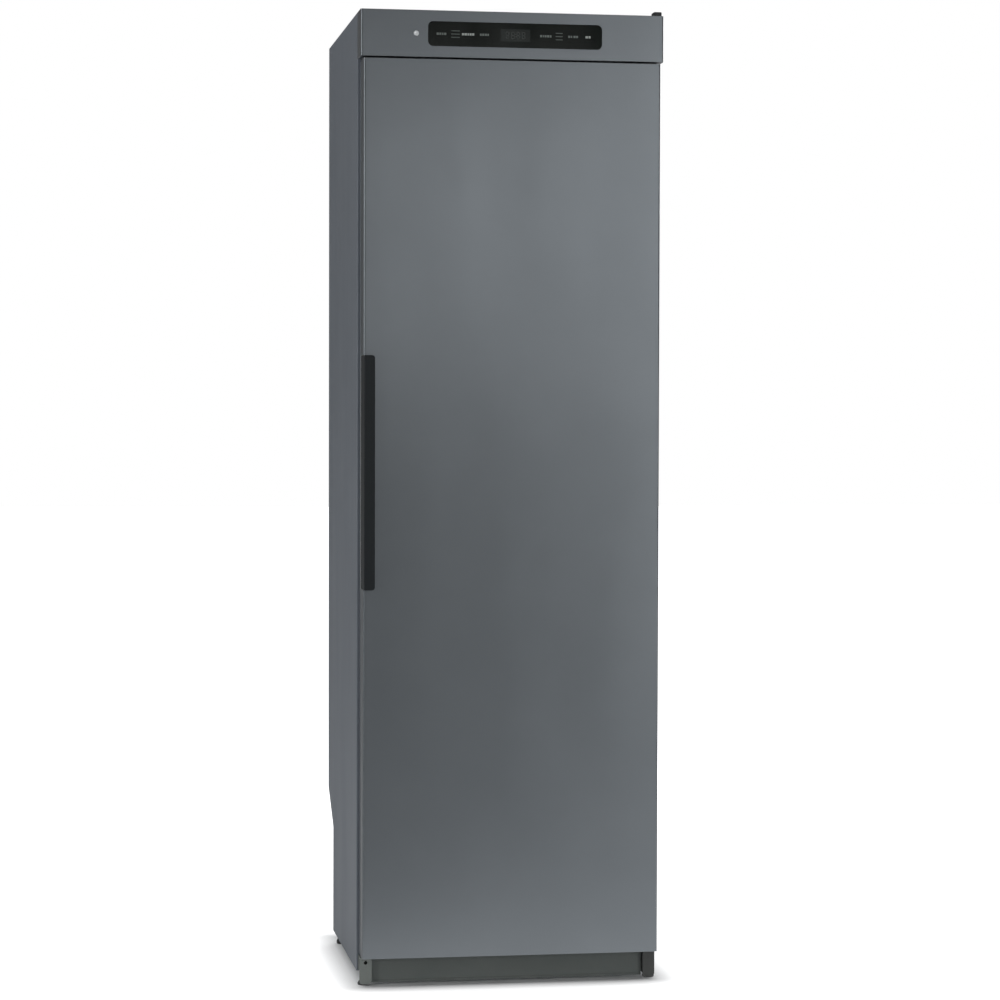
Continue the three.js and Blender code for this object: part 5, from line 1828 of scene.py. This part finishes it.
@dataclass
class Base:
    """What carries the cabinet and the door: plinth, brackets, feet and hinges."""

    plinth_lip: float = 3.5 * MM
    plinth_step: float = 1.2 * MM
    plate: float = 3 * MM
    plate_round: float = 0.6 * MM
    face_setback: float = 14 * MM
    face_corner: float = 7 * MM
    face_hole: float = 3.5 * MM
    hole_drop: float = 12 * MM
    pin_radius: float = 4 * MM
    front_pad: float = 9 * MM
    rear_pad: float = 15 * MM
    waist_share: float = 0.45
    collar_share: float = 0.75
    pad_lip: float = 1.5 * MM
    pad_round: float = 0.4 * MM
    thread: float = 5 * MM
    thread_depth: float = 0.7 * MM
    thread_pitch: float = 1.5 * MM
    thread_sides: int = 24
    hinge_cap_round: float = 3 * MM
    hinge_cap_edge: float = 1.5 * MM

    def plinth(self) -> Shape:
        """The plinth: a moulding with a narrow lip along its foot.

        Returns:
            The plinth.
        """
        low, high = Room.of("plinth")
        shape = Shape.block(low, high)
        lip = low.z + self.plinth_lip
        shape.score((0, 0, lip), UP)
        face = inside((low.x, low.y - MM, lip), (high.x, low.y + MM, high.z))
        shape.press(face, self.plinth_step, -self.plinth_step)
        return shape.soften(self.plinth_step / 2)

    def foot(self, node: str) -> Shape:
        """A levelling foot: a soft-edged pad with a narrower collar above it, and a threaded shank.

        Args:
            node: The foot's node.

        Returns:
            The foot.
        """
        room = Room.of(node)
        base = (room.middle.x, room.middle.y, room.low.z)
        pad = room.size.x / 2
        level = self.front_pad if node.startswith("front") else self.rear_pad
        waist, collar = self.waist_share * level, self.collar_share * pad
        profile = [
            (0, 0), (pad - self.pad_lip, 0), (pad - self.pad_round, self.pad_round), (pad, self.pad_lip),
            (pad, waist), (pad - MM, waist + MM), (collar, level), (0, level),
        ]
        height, root = level - MM, self.thread - self.thread_depth
        turns = [(0, height)]
        while height + self.thread_pitch < room.size.z:
            turns += [(root, height), (self.thread, height + self.thread_pitch / 2)]
            height += self.thread_pitch
        turns += [(root, height), (0, height)]
        shank = Shape.turned(turns, base, UP, sides=self.thread_sides)
        return Shape.turned(profile, base, UP).add(shank.paint(1))

    def bracket(self, side: str) -> Shape:
        """A front bracket: face plate, wing beside the plinth, rear flange, and tongue under the door.

        Args:
            side: Left, with two spare holes, or right, with the door's lower pin.

        Returns:
            The bracket.
        """
        low, high = Room.of(f"hinge_bracket_{side}")
        top, plate = Room.of("hinge_bracket_left").high.z, self.plate
        front, under = low.y + self.face_setback, top - plate / 2
        hinge = joint_place("door_hinge")
        spare = side == "left"
        hole = Outline.circle((low.x + high.x) / 2, top - self.hole_drop, self.face_hole)
        face_edge = Outline.between((low.x, low.z), (high.x, top))
        face = Shape.plate(Axis.Y, (front, front + plate), face_edge, [hole] if spare else [])
        bore = Outline.circle(-hinge.x, hinge.y, self.pin_radius)
        tongue_edge = Outline.between((low.x, low.y), (high.x, high.y))
        tongue = Shape.plate(Axis.Z, (top - plate, top), tongue_edge, [bore] if spare else [])

        def is_foot(at: Vector, along: Vector) -> bool:
            """Whether an edge is a lower corner of the face plate."""
            return abs(along.y) > MOSTLY and at.z < low.z + MERGE_DISTANCE

        def is_tip(at: Vector, along: Vector) -> bool:
            """Whether an edge is a front corner of the tongue."""
            return abs(along.z) > MOSTLY and at.y < low.y + MERGE_DISTANCE

        face.soften(self.face_corner, CORNER_STEPS, is_foot)
        tongue.soften(2 * self.pin_radius, CORNER_STEPS, is_tip)
        wing_low, wing_high = (high.x - plate, high.x) if spare else (low.x, low.x + plate)
        wing = Shape.block(
            (wing_low, front + plate / 2, low.z + self.face_corner), (wing_high, high.y, under),
        )
        flange_low = (low.x, high.y - plate, Room.of("base_tray").low.z)
        flange = Shape.block(flange_low, (high.x, high.y, under))
        shape = Shape()
        for piece in (face, tongue, wing, flange):
            shape.add(piece.soften(self.plate_round, steps=2))
        if not spare:
            pin = Shape.rod((hinge.x, hinge.y, under), (hinge.x, hinge.y, high.z), self.pin_radius)
            shape.add(pin.soften(self.plate_round, steps=2))
        return shape

    def hinge_cap(self) -> Shape:
        """The moulded cap over the upper hinge's pin.

        Returns:
            The cap.
        """
        low, high = Room.of("hinge_cap")
        shape = Shape.block(low, high)
        shape.soften(self.hinge_cap_round, steps=5, where=lambda at, along: abs(along.z) > MOSTLY)
        return shape.soften(
            self.hinge_cap_edge, steps=4, where=lambda at, along: at.z > high.z - MERGE_DISTANCE,
        )

    def dress(self) -> None:
        """Builds and places the base's pieces."""
        fit(self.plinth(), "plinth_moulding", "plinth")
        for side in ("left", "right"):
            fit(self.bracket(side), f"foot_bracket_{side}", f"hinge_bracket_{side}")
            for place in ("front", "rear"):
                node = f"{place}_foot_{side}"
                fit(self.foot(node), f"{place}_levelling_foot_{side}", node, BLACK_MOULDING, STEEL_SCREW)
        hinge = Shape.copy_of("upper_hinge").soften(self.plate_round, steps=2)
        fit(hinge, "upper_hinge_plate", "upper_hinge")
        fit(self.hinge_cap(), "hinge_cap_moulding", "hinge_cap")


# ---------------- the chamber and its racks


@dataclass
class Chamber:
    """The lined drying chamber, with the air slots in its rear wall."""

    bead_width: float = 1.1 * MM
    bead_depth: float = 1.1 * MM
    edge_round: float = 0.5 * MM
    ceiling_round: float = 0.4 * MM
    sensor_round: float = 0.7 * MM
    cloth_inset: float = 7 * MM
    cloth_top: float = 60 * MM
    cloth_half: float = 0.3 * MM
    wall_fields: int = 3
    wall_margin: float = 60 * MM
    slot_rows: int = 8
    slot_margin: float = 110 * MM
    slot_width: float = 150 * MM
    slot_height: float = 8 * MM
    slot_roundness: float = 2.1
    slot_offset: float = 120 * MM

    def wall(self, side: str) -> Shape:
        """A side wall with long pressed fields side by side.

        Args:
            side: Left or right.

        Returns:
            The wall.
        """
        low, high = Room.of(f"chamber_wall_{side}")
        inner = high.x if side == "left" else low.x
        shape = Shape.block(low, high)
        margin, half = self.wall_margin, MM / 2
        width = (high.y - low.y - (self.wall_fields + 1) * margin) / self.wall_fields
        for number in range(self.wall_fields):
            front = low.y + margin + number * (width + margin)
            field_low = (inner - half, front, low.z + margin)
            field_high = (inner + half, front + width, high.z - 2 * margin)
            shape.field(field_low, field_high, self.bead_width, -self.bead_depth)
        return shape

    def rear(self) -> Shape:
        """The rear wall, with two columns of rounded slots.

        Returns:
            The wall.
        """
        low, high = Room.of("air_duct_wall")
        floor, ceiling = Room.of("chamber_floor").high.z, Room.of("chamber_ceiling").low.z
        pitch = (ceiling - floor - 2 * self.slot_margin) / (self.slot_rows - 1)
        levels = [floor + self.slot_margin + row * pitch for row in range(self.slot_rows)]
        corner = self.slot_height / self.slot_roundness
        holes = [
            Outline(x, level, self.slot_width, self.slot_height, corner)
            for level in levels for x in (-self.slot_offset, self.slot_offset)
        ]
        flat = Outline.between((low.x, low.z), (high.x, high.z))
        shape = Shape.plate(Axis.Y, (low.y, high.y), flat, holes)
        return shape.soften(self.edge_round, steps=2, where=lambda at, along: at.y < low.y + MERGE_DISTANCE)

    def floor(self) -> Shape:
        """The floor, with its upper edges and those of the filter's opening rounded."""
        top = Room.of("chamber_floor").high.z - MERGE_DISTANCE
        return Shape.copy_of("chamber_floor").soften(self.edge_round, where=lambda at, along: at.z > top)

    def filter(self) -> Shape:
        """The lint filter: its moulded frame, and the cloth that lines its basket.

        Returns:
            The filter.
        """
        low, high = Room.of("lint_filter")
        shape = Shape.copy_of("lint_filter").soften(self.edge_round, steps=2)
        inset, half = self.cloth_inset, self.cloth_half
        for face in (low.y + inset, high.y - inset):
            cloth_low = (low.x + inset, face - half, low.z + inset)
            cloth = Shape.block(cloth_low, (high.x - inset, face + half, low.z + self.cloth_top))
            shape.add(cloth.paint(1))
        return shape

    def dress(self) -> None:
        """Builds and places the chamber's pieces."""
        for side in ("left", "right"):
            fit(self.wall(side), f"lining_sheet_{side}", f"chamber_wall_{side}")
        fit(self.rear(), "slotted_rear_sheet", "air_duct_wall")
        fit(self.floor(), "floor_sheet", "chamber_floor")
        ceiling = Shape.copy_of("chamber_ceiling").soften(self.ceiling_round, steps=2)
        fit(ceiling, "ceiling_sheet", "chamber_ceiling")
        sensor = Shape.copy_of("humidity_sensor").soften(self.sensor_round)
        fit(sensor, "sensor_housing", "humidity_sensor")
        fit(self.filter(), "filter_basket", "lint_filter", BLACK_MOULDING, FILTER_CLOTH)


@dataclass
class Racks:
    """The fixed top rack and the two that fold up, with their wall brackets."""

    depth: float = 400 * MM
    top_depth: float = 360 * MM
    rods: int = 6
    rod_radius: float = 3.5 * MM
    rod_round: float = 0.6 * MM
    rod_sides: int = 20
    rod_inset: float = 0.2 * MM
    arm_width: float = 8 * MM
    arm_height: float = 12 * MM
    arm_corner: float = 5.5 * MM
    arm_round: float = 0.8 * MM
    arm_gap: float = 4 * MM
    pivot_gap: float = 18 * MM
    bracket_round: float = 0.3 * MM
    bracket_sheet: float = 1.5 * MM
    screw_spread: float = 150 * MM

    def rack(self, node: str, fixed: bool) -> Shape:
        """A rack: two arms, a rear axle and cross rods with rounded ends.

        Args:
            node: The rack's node.
            fixed: Whether it is the top rack, whose arms are screwed to the walls.

        Returns:
            The rack.
        """
        low, high = Room.of(node)
        level, half_height = (low.z + high.z) / 2, (high.z - low.z) / 2
        pivot = Room.of("air_duct_wall").low.y - self.pivot_gap
        front = pivot - (self.top_depth if fixed else self.depth)
        rear = pivot + (self.arm_height if fixed else self.arm_height / 2)
        arm_width = self.arm_width / 2 if fixed else self.arm_width
        reach = high.x if fixed else high.x - self.arm_gap
        outline = Outline.between(
            (front, level - half_height), (rear, level + half_height), self.arm_corner,
        )
        shape = Shape()
        for side in (-1, 1):
            start, end = sorted((side * reach, side * (reach - arm_width)))
            shape.add(Shape.plate(Axis.X, (start, end), outline).soften(self.arm_round))
        across = reach - arm_width / 2 - self.rod_inset
        first, pitch = front + self.arm_height / 2, (pivot - front) / self.rods
        rods = [(first + number * pitch, across) for number in range(self.rods)]
        for y, half in [*rods, (pivot, across if fixed else high.x)]:
            rod = Shape.rod((-half, y, level), (half, y, level), self.rod_radius, sides=self.rod_sides)
            shape.add(rod.soften(self.rod_round, steps=2))
        return shape

    def bracket(self, node: str) -> Shape:
        """A wall bracket, with softened edges and three screws.

        Args:
            node: The bracket's node.

        Returns:
            The bracket.
        """
        room, spread = Room.of(node), self.screw_spread
        strip = room.high.y - self.bracket_sheet
        heads = screws((-spread, 0, spread), (strip,), (room.middle.z,), FRONT)
        return Shape.copy_of(node).soften(self.bracket_round, steps=2).add(*heads)

    def dress(self) -> None:
        """Builds and places the racks."""
        fit(self.rack("top_rack", True), "top_hanging_rack", "top_rack")
        for level in ("upper", "lower"):
            fit(self.rack(f"{level}_rack", False), f"{level}_folding_rack", f"{level}_rack")
            name = f"{level}_rack_bracket"
            fit(self.bracket(name), f"{name}_plate", name, ZINC, STEEL_SCREW)


# ---------------- the machine


@dataclass
class Machine:
    """The heat pump and the fan in the base."""

    edge_round: float = 0.5 * MM
    fin_pitch: float = 3 * MM
    fin_thickness: float = 0.25 * MM
    end_plate: float = 1 * MM
    end_round: float = 0.2 * MM
    tube_bend: float = 7 * MM
    tube_sides: int = 12
    tube_radius: float = 4 * MM
    tube_rows: int = 6
    tube_columns: int = 2
    end_margin: float = 12 * MM
    shell_round: float = 26 * MM
    shell_inset: float = 2 * MM
    seam_share: float = 0.62
    seam_width: float = 6 * MM
    foot_plate: float = 4 * MM
    foot_round: float = 0.8 * MM
    foot_margin: float = 12 * MM
    foot_screw: float = 6 * MM

    def coil(self, node: str) -> Shape:
        """A finned coil: thin fins between two end plates, with return bends outside them.

        Args:
            node: The coil's node.

        Returns:
            The coil.
        """
        low, high = Room.of(node)
        left, right = low.x + self.end_margin, high.x - self.end_margin
        plate, radius, sides = self.end_plate, self.tube_radius, self.tube_sides
        shape = Shape()
        count = int((right - left) / self.fin_pitch)
        for number in range(count + 1):
            x = left + number * (right - left) / count
            fin_high = (x + self.fin_thickness, high.y - plate, high.z - plate)
            shape.add(Shape.block((x, low.y + plate, low.z + plate), fin_high))
        for x in (left - plate, right):
            end = Shape.block((x, low.y, low.z), (x + plate, high.y, high.z))
            shape.add(end.soften(self.end_round, steps=1))
        step, rise = (high.y - low.y) / self.tube_columns, (high.z - low.z) / self.tube_rows
        for column, row in product(range(self.tube_columns), range(self.tube_rows)):
            y, z = low.y + step / 2 + column * step, low.z + rise / 2 + row * rise
            shape.add(Shape.rod((left, y, z), (right, y, z), radius, sides=sides).paint(1))
            if row + 1 < self.tube_rows:
                out = right + plate if row % 2 else left
                tip = high.x - radius if row % 2 else low.x + radius
                path = [(out, y, z), (tip, y, z), (tip, y, z + rise), (out, y, z + rise)]
                shape.add(Shape.tube(path, radius, self.tube_bend, sides).paint(1))
        return shape

    def compressor(self) -> Shape:
        """The compressor: a welded shell with domed ends, on a foot plate with four screws.

        Returns:
            The compressor.
        """
        room = Room.of("compressor")
        low, high = room
        foot, height, edge = self.foot_plate, room.size.z, self.shell_round
        radius = min(room.size.x, room.size.y) / 2
        body = radius - self.shell_inset
        inner, seam = body - edge, height * self.seam_share
        arc = [step / CORNER_STEPS * math.pi / 2 for step in range(CORNER_STEPS + 1)]
        lower = [(inner + edge * math.sin(a), foot + edge * (1 - math.cos(a))) for a in arc]
        upper = [(inner + edge * math.cos(a), height - edge + edge * math.sin(a)) for a in arc]
        profile = [
            (0, foot), (inner, foot), *lower, (body, seam), (radius, seam + MM),
            (radius, seam + self.seam_width - MM), (body, seam + self.seam_width), *upper, (0, height),
        ]
        shape = Shape.turned(profile, (room.middle.x, room.middle.y, low.z), UP)
        plate = Shape.block(low, (high.x, high.y, low.z + foot))
        shape.add(plate.soften(self.foot_round, steps=2))
        margin = self.foot_margin
        xs, ys = (low.x + margin, high.x - margin), (low.y + margin, high.y - margin)
        return shape.add(*screws(xs, ys, (low.z + foot,), UP, self.foot_screw))

    def dress(self) -> None:
        """Builds and places the machine's pieces."""
        for node in ("evaporator", "condenser"):
            fit(self.coil(node), f"{node}_coil", node, BARE_ALUMINIUM, COPPER)
        fit(self.compressor(), "compressor_shell", "compressor", BLACK_ENAMEL, STEEL_SCREW)
        for node in ("drip_tray", "fan_housing", "fan_motor", "power_module", "door_switch", "mains_inlet"):
            fit(Shape.copy_of(node).soften(self.edge_round, steps=2), f"{node}_body", node)


# ---------------- the studio


@dataclass
class Studio:
    """The pale floor, the soft lights and the camera."""

    camera_place: Point = (-0.9043, -5.7575, 1.1056)
    yaw: float = math.radians(9.152)
    pitch: float = math.radians(-1.616)
    roll: float = math.radians(0.153)
    lens: float = 102.44
    floor_size: float = 60.0
    floor_colour: Colour = (226, 227, 228)
    floor_shade: Colour = (222, 223, 224)
    floor_clouds: float = 1.5
    floor_gloss: float = 0.9
    floor_specular: float = 0.1
    # Painted shadow: the floor's glow fades out over this footprint of the cabinet and this reach around
    # it.
    painted_shadow_footprint: Point = (0.28, 0.27, 1.0)
    painted_shadow_reach: float = 0.06
    fade: Limits = (0.5, 2.2)
    floor_lift: float = 0.72
    # Painted light: the floor glows for reflections only, in front of the cabinet, so that the door's lower
    # part reflects it brighter.
    floor_shine: float = 1.0
    shine_start: float = 0.1
    shine_ahead: Limits = (0.0, -0.35)
    shine_across: Limits = (-0.4, 0.8)
    floor_reach: Limits = (0.9, 2.6)
    light_turn: Limits = (-0.3, 0.5)
    room_light: Limits = (0.13, 0.75)
    shine_turn: Limits = (-0.4, 0.5)
    room_shine: Limits = (0.06, 0.14)

    def camera(self) -> None:
        """Puts the camera at the photograph's place and angle."""
        data = bpy.data.cameras.new("camera")
        data.lens = self.lens
        camera = place_object("camera", data)
        ahead = Matrix.Rotation(-self.yaw, 4, "Z") @ Matrix.Rotation(math.pi / 2 + self.pitch, 4, "X")
        turn = ahead @ Matrix.Rotation(self.roll, 4, "Z")
        camera.matrix_world = Matrix.Translation(self.camera_place) @ turn
        bpy.context.scene.camera = camera

    def floor(self) -> None:
        """Lays a pale floor that shows the object's shadow, adds a painted shadow under and just around the
        cabinet, and fades to white.
        """
        mesh = bpy.data.meshes.new("studio_floor")
        plane = bmesh.new()
        bmesh.ops.create_grid(plane, x_segments=1, y_segments=1, size=self.floor_size / 2)
        plane.to_mesh(mesh)
        plane.free()
        floor = place_object("studio_floor", mesh)
        material = bpy.data.materials.new("pale floor")
        material.use_nodes = True
        tree = material.node_tree
        nodes = Nodes(tree)
        shader = tree.nodes["Principled BSDF"]
        place = nodes.add("ShaderNodeTexCoord").outputs["Object"]
        clouds = nodes.noise(place, self.floor_clouds)
        colour = nodes.mix(clouds, screen_colour(self.floor_colour), screen_colour(self.floor_shade))
        nodes.feed(shader, {
            "Base Color": colour,
            "Roughness": self.floor_gloss,
            "Specular IOR Level": self.floor_specular,
        })
        glow = nodes.add("ShaderNodeEmission", {"Strength": self.floor_glow(nodes, place)})
        total = nodes.add("ShaderNodeAddShader", {0: shader.outputs[0], 1: glow.outputs[0]})
        nodes.feed(tree.nodes["Material Output"], {"Surface": total.outputs[0]})
        mesh.materials.append(material)

    def floor_glow(self, nodes: Nodes, place: Socket) -> Socket:
        """How strongly the floor glows: to the eye it fades to white, with a painted shadow under and just
        around the cabinet, and reflections see a painted glow in front of it.

        Args:
            nodes: The nodes of the floor's material.
            place: The place on the floor.

        Returns:
            The strength of the glow.
        """
        direct, glossy = nodes.sight()
        beyond = nodes.vectors("SUBTRACT", nodes.vectors("ABSOLUTE", place), self.painted_shadow_footprint)
        distance = nodes.vectors("LENGTH", nodes.vectors("MAXIMUM", beyond, (0, 0, 0)), output=1)
        # Painted shadow: no glow under the footprint, rising to full within the reach around it.
        under = nodes.remap(distance, (0.0, self.painted_shadow_reach))
        lift = nodes.maths("MULTIPLY", under, nodes.remap(distance, self.fade, (self.floor_lift, 1.0)))
        # Painted light: a glow that only reflections see, strongest just in front of the cabinet.
        ahead = nodes.remap(nodes.part(place, Axis.Y), self.shine_ahead)
        reach = nodes.remap(nodes.part(place, Axis.X), self.shine_across, self.floor_reach)
        fading = nodes.remap(distance, (self.shine_start, reach), (self.floor_shine, 0.0))
        near = nodes.maths("MULTIPLY", ahead, fading)
        mirrored = nodes.maths("MULTIPLY", glossy, near)
        return nodes.maths("MULTIPLY_ADD", direct, lift, mirrored)

    def world(self) -> None:
        """Lights the room from all sides, least from behind the camera, and shows it as white."""
        world = bpy.data.worlds.new("studio")
        bpy.context.scene.world = world
        world.use_nodes = True
        tree = world.node_tree
        nodes = Nodes(tree)
        forward = nodes.part(nodes.add("ShaderNodeTexCoord").outputs["Generated"], Axis.Y)
        spread = nodes.remap(forward, self.light_turn, self.room_light)
        shine = nodes.remap(forward, self.shine_turn, self.room_shine)
        direct, glossy = nodes.sight()
        mirrored = nodes.mix(glossy, spread, shine)
        level = nodes.mix(direct, mirrored, (1.0, 1.0, 1.0, 1.0))
        nodes.feed(tree.nodes["Background"], {"Color": level})

    def softbox(
        self, name: str, place: Point, target: Point, size: tuple[float, float], power: float,
    ) -> None:
        """Hangs a rectangular soft light.

        Args:
            name: The light's name.
            place: Its place.
            target: The point it faces.
            size: Its width and height.
            power: Its power in watts.
        """
        data = bpy.data.lights.new(name, "AREA")
        data.shape = "RECTANGLE"
        data.size, data.size_y = size
        data.energy = power
        turn = turn_to(Vector(target) - Vector(place), "-Z")
        place_object(name, data).matrix_world = Matrix.Translation(place) @ turn

    def build(self) -> None:
        """Sets up the whole studio."""
        self.camera()
        self.floor()
        self.world()
        front = Room.of("door_skin").low.y
        self.softbox("key", (1.7, -4.0, 2.6), target=(0, front, 1.5), size=(0.8, 1.6), power=9)
        self.softbox("band", (1.3, -6.8, 2.0), target=(1.3, front, 1.8), size=(3.0, 1.0), power=21)
        self.softbox("right", (2.1, -4.4, 0.6), target=(0.1, front, 0.5), size=(0.5, 1.6), power=23)
        self.softbox("left", (-2.6, -2.2, 1.3), target=(0, front, 1.0), size=(0.7, 1.8), power=16)
        self.softbox("side", (-3.3, -1.1, 2.2), target=(0, 0, 1.2), size=(1.6, 1.8), power=22)
        self.softbox("top", (0, -1.2, 3.6), target=(0, -0.9, 0), size=(2.4, 1.6), power=12)
        self.softbox("far side", (3.3, 0.9, 2.1), target=(0, 0, 1.1), size=(1.6, 1.8), power=18)
        self.softbox("rear", (1.9, 3.8, 2.6), target=(0, 0.3, 1.2), size=(1.6, 1.6), power=40)
        bpy.context.scene.view_settings.view_transform = "Standard"


# ---------------- the whole cabinet


def main() -> None:
    """Builds the studio and every sub-assembly."""
    logging.basicConfig(level=logging.INFO, format="%(name)s: %(message)s")
    Studio().build()
    for assembly in (Casing(), Door(), ControlPanel(), Base(), Chamber(), Racks(), Machine()):
        assembly.dress()
    for name, node in frame["nodes"].items():
        if not node.hide_render:
            dress(name)


if __name__ == "__main__":
    main()
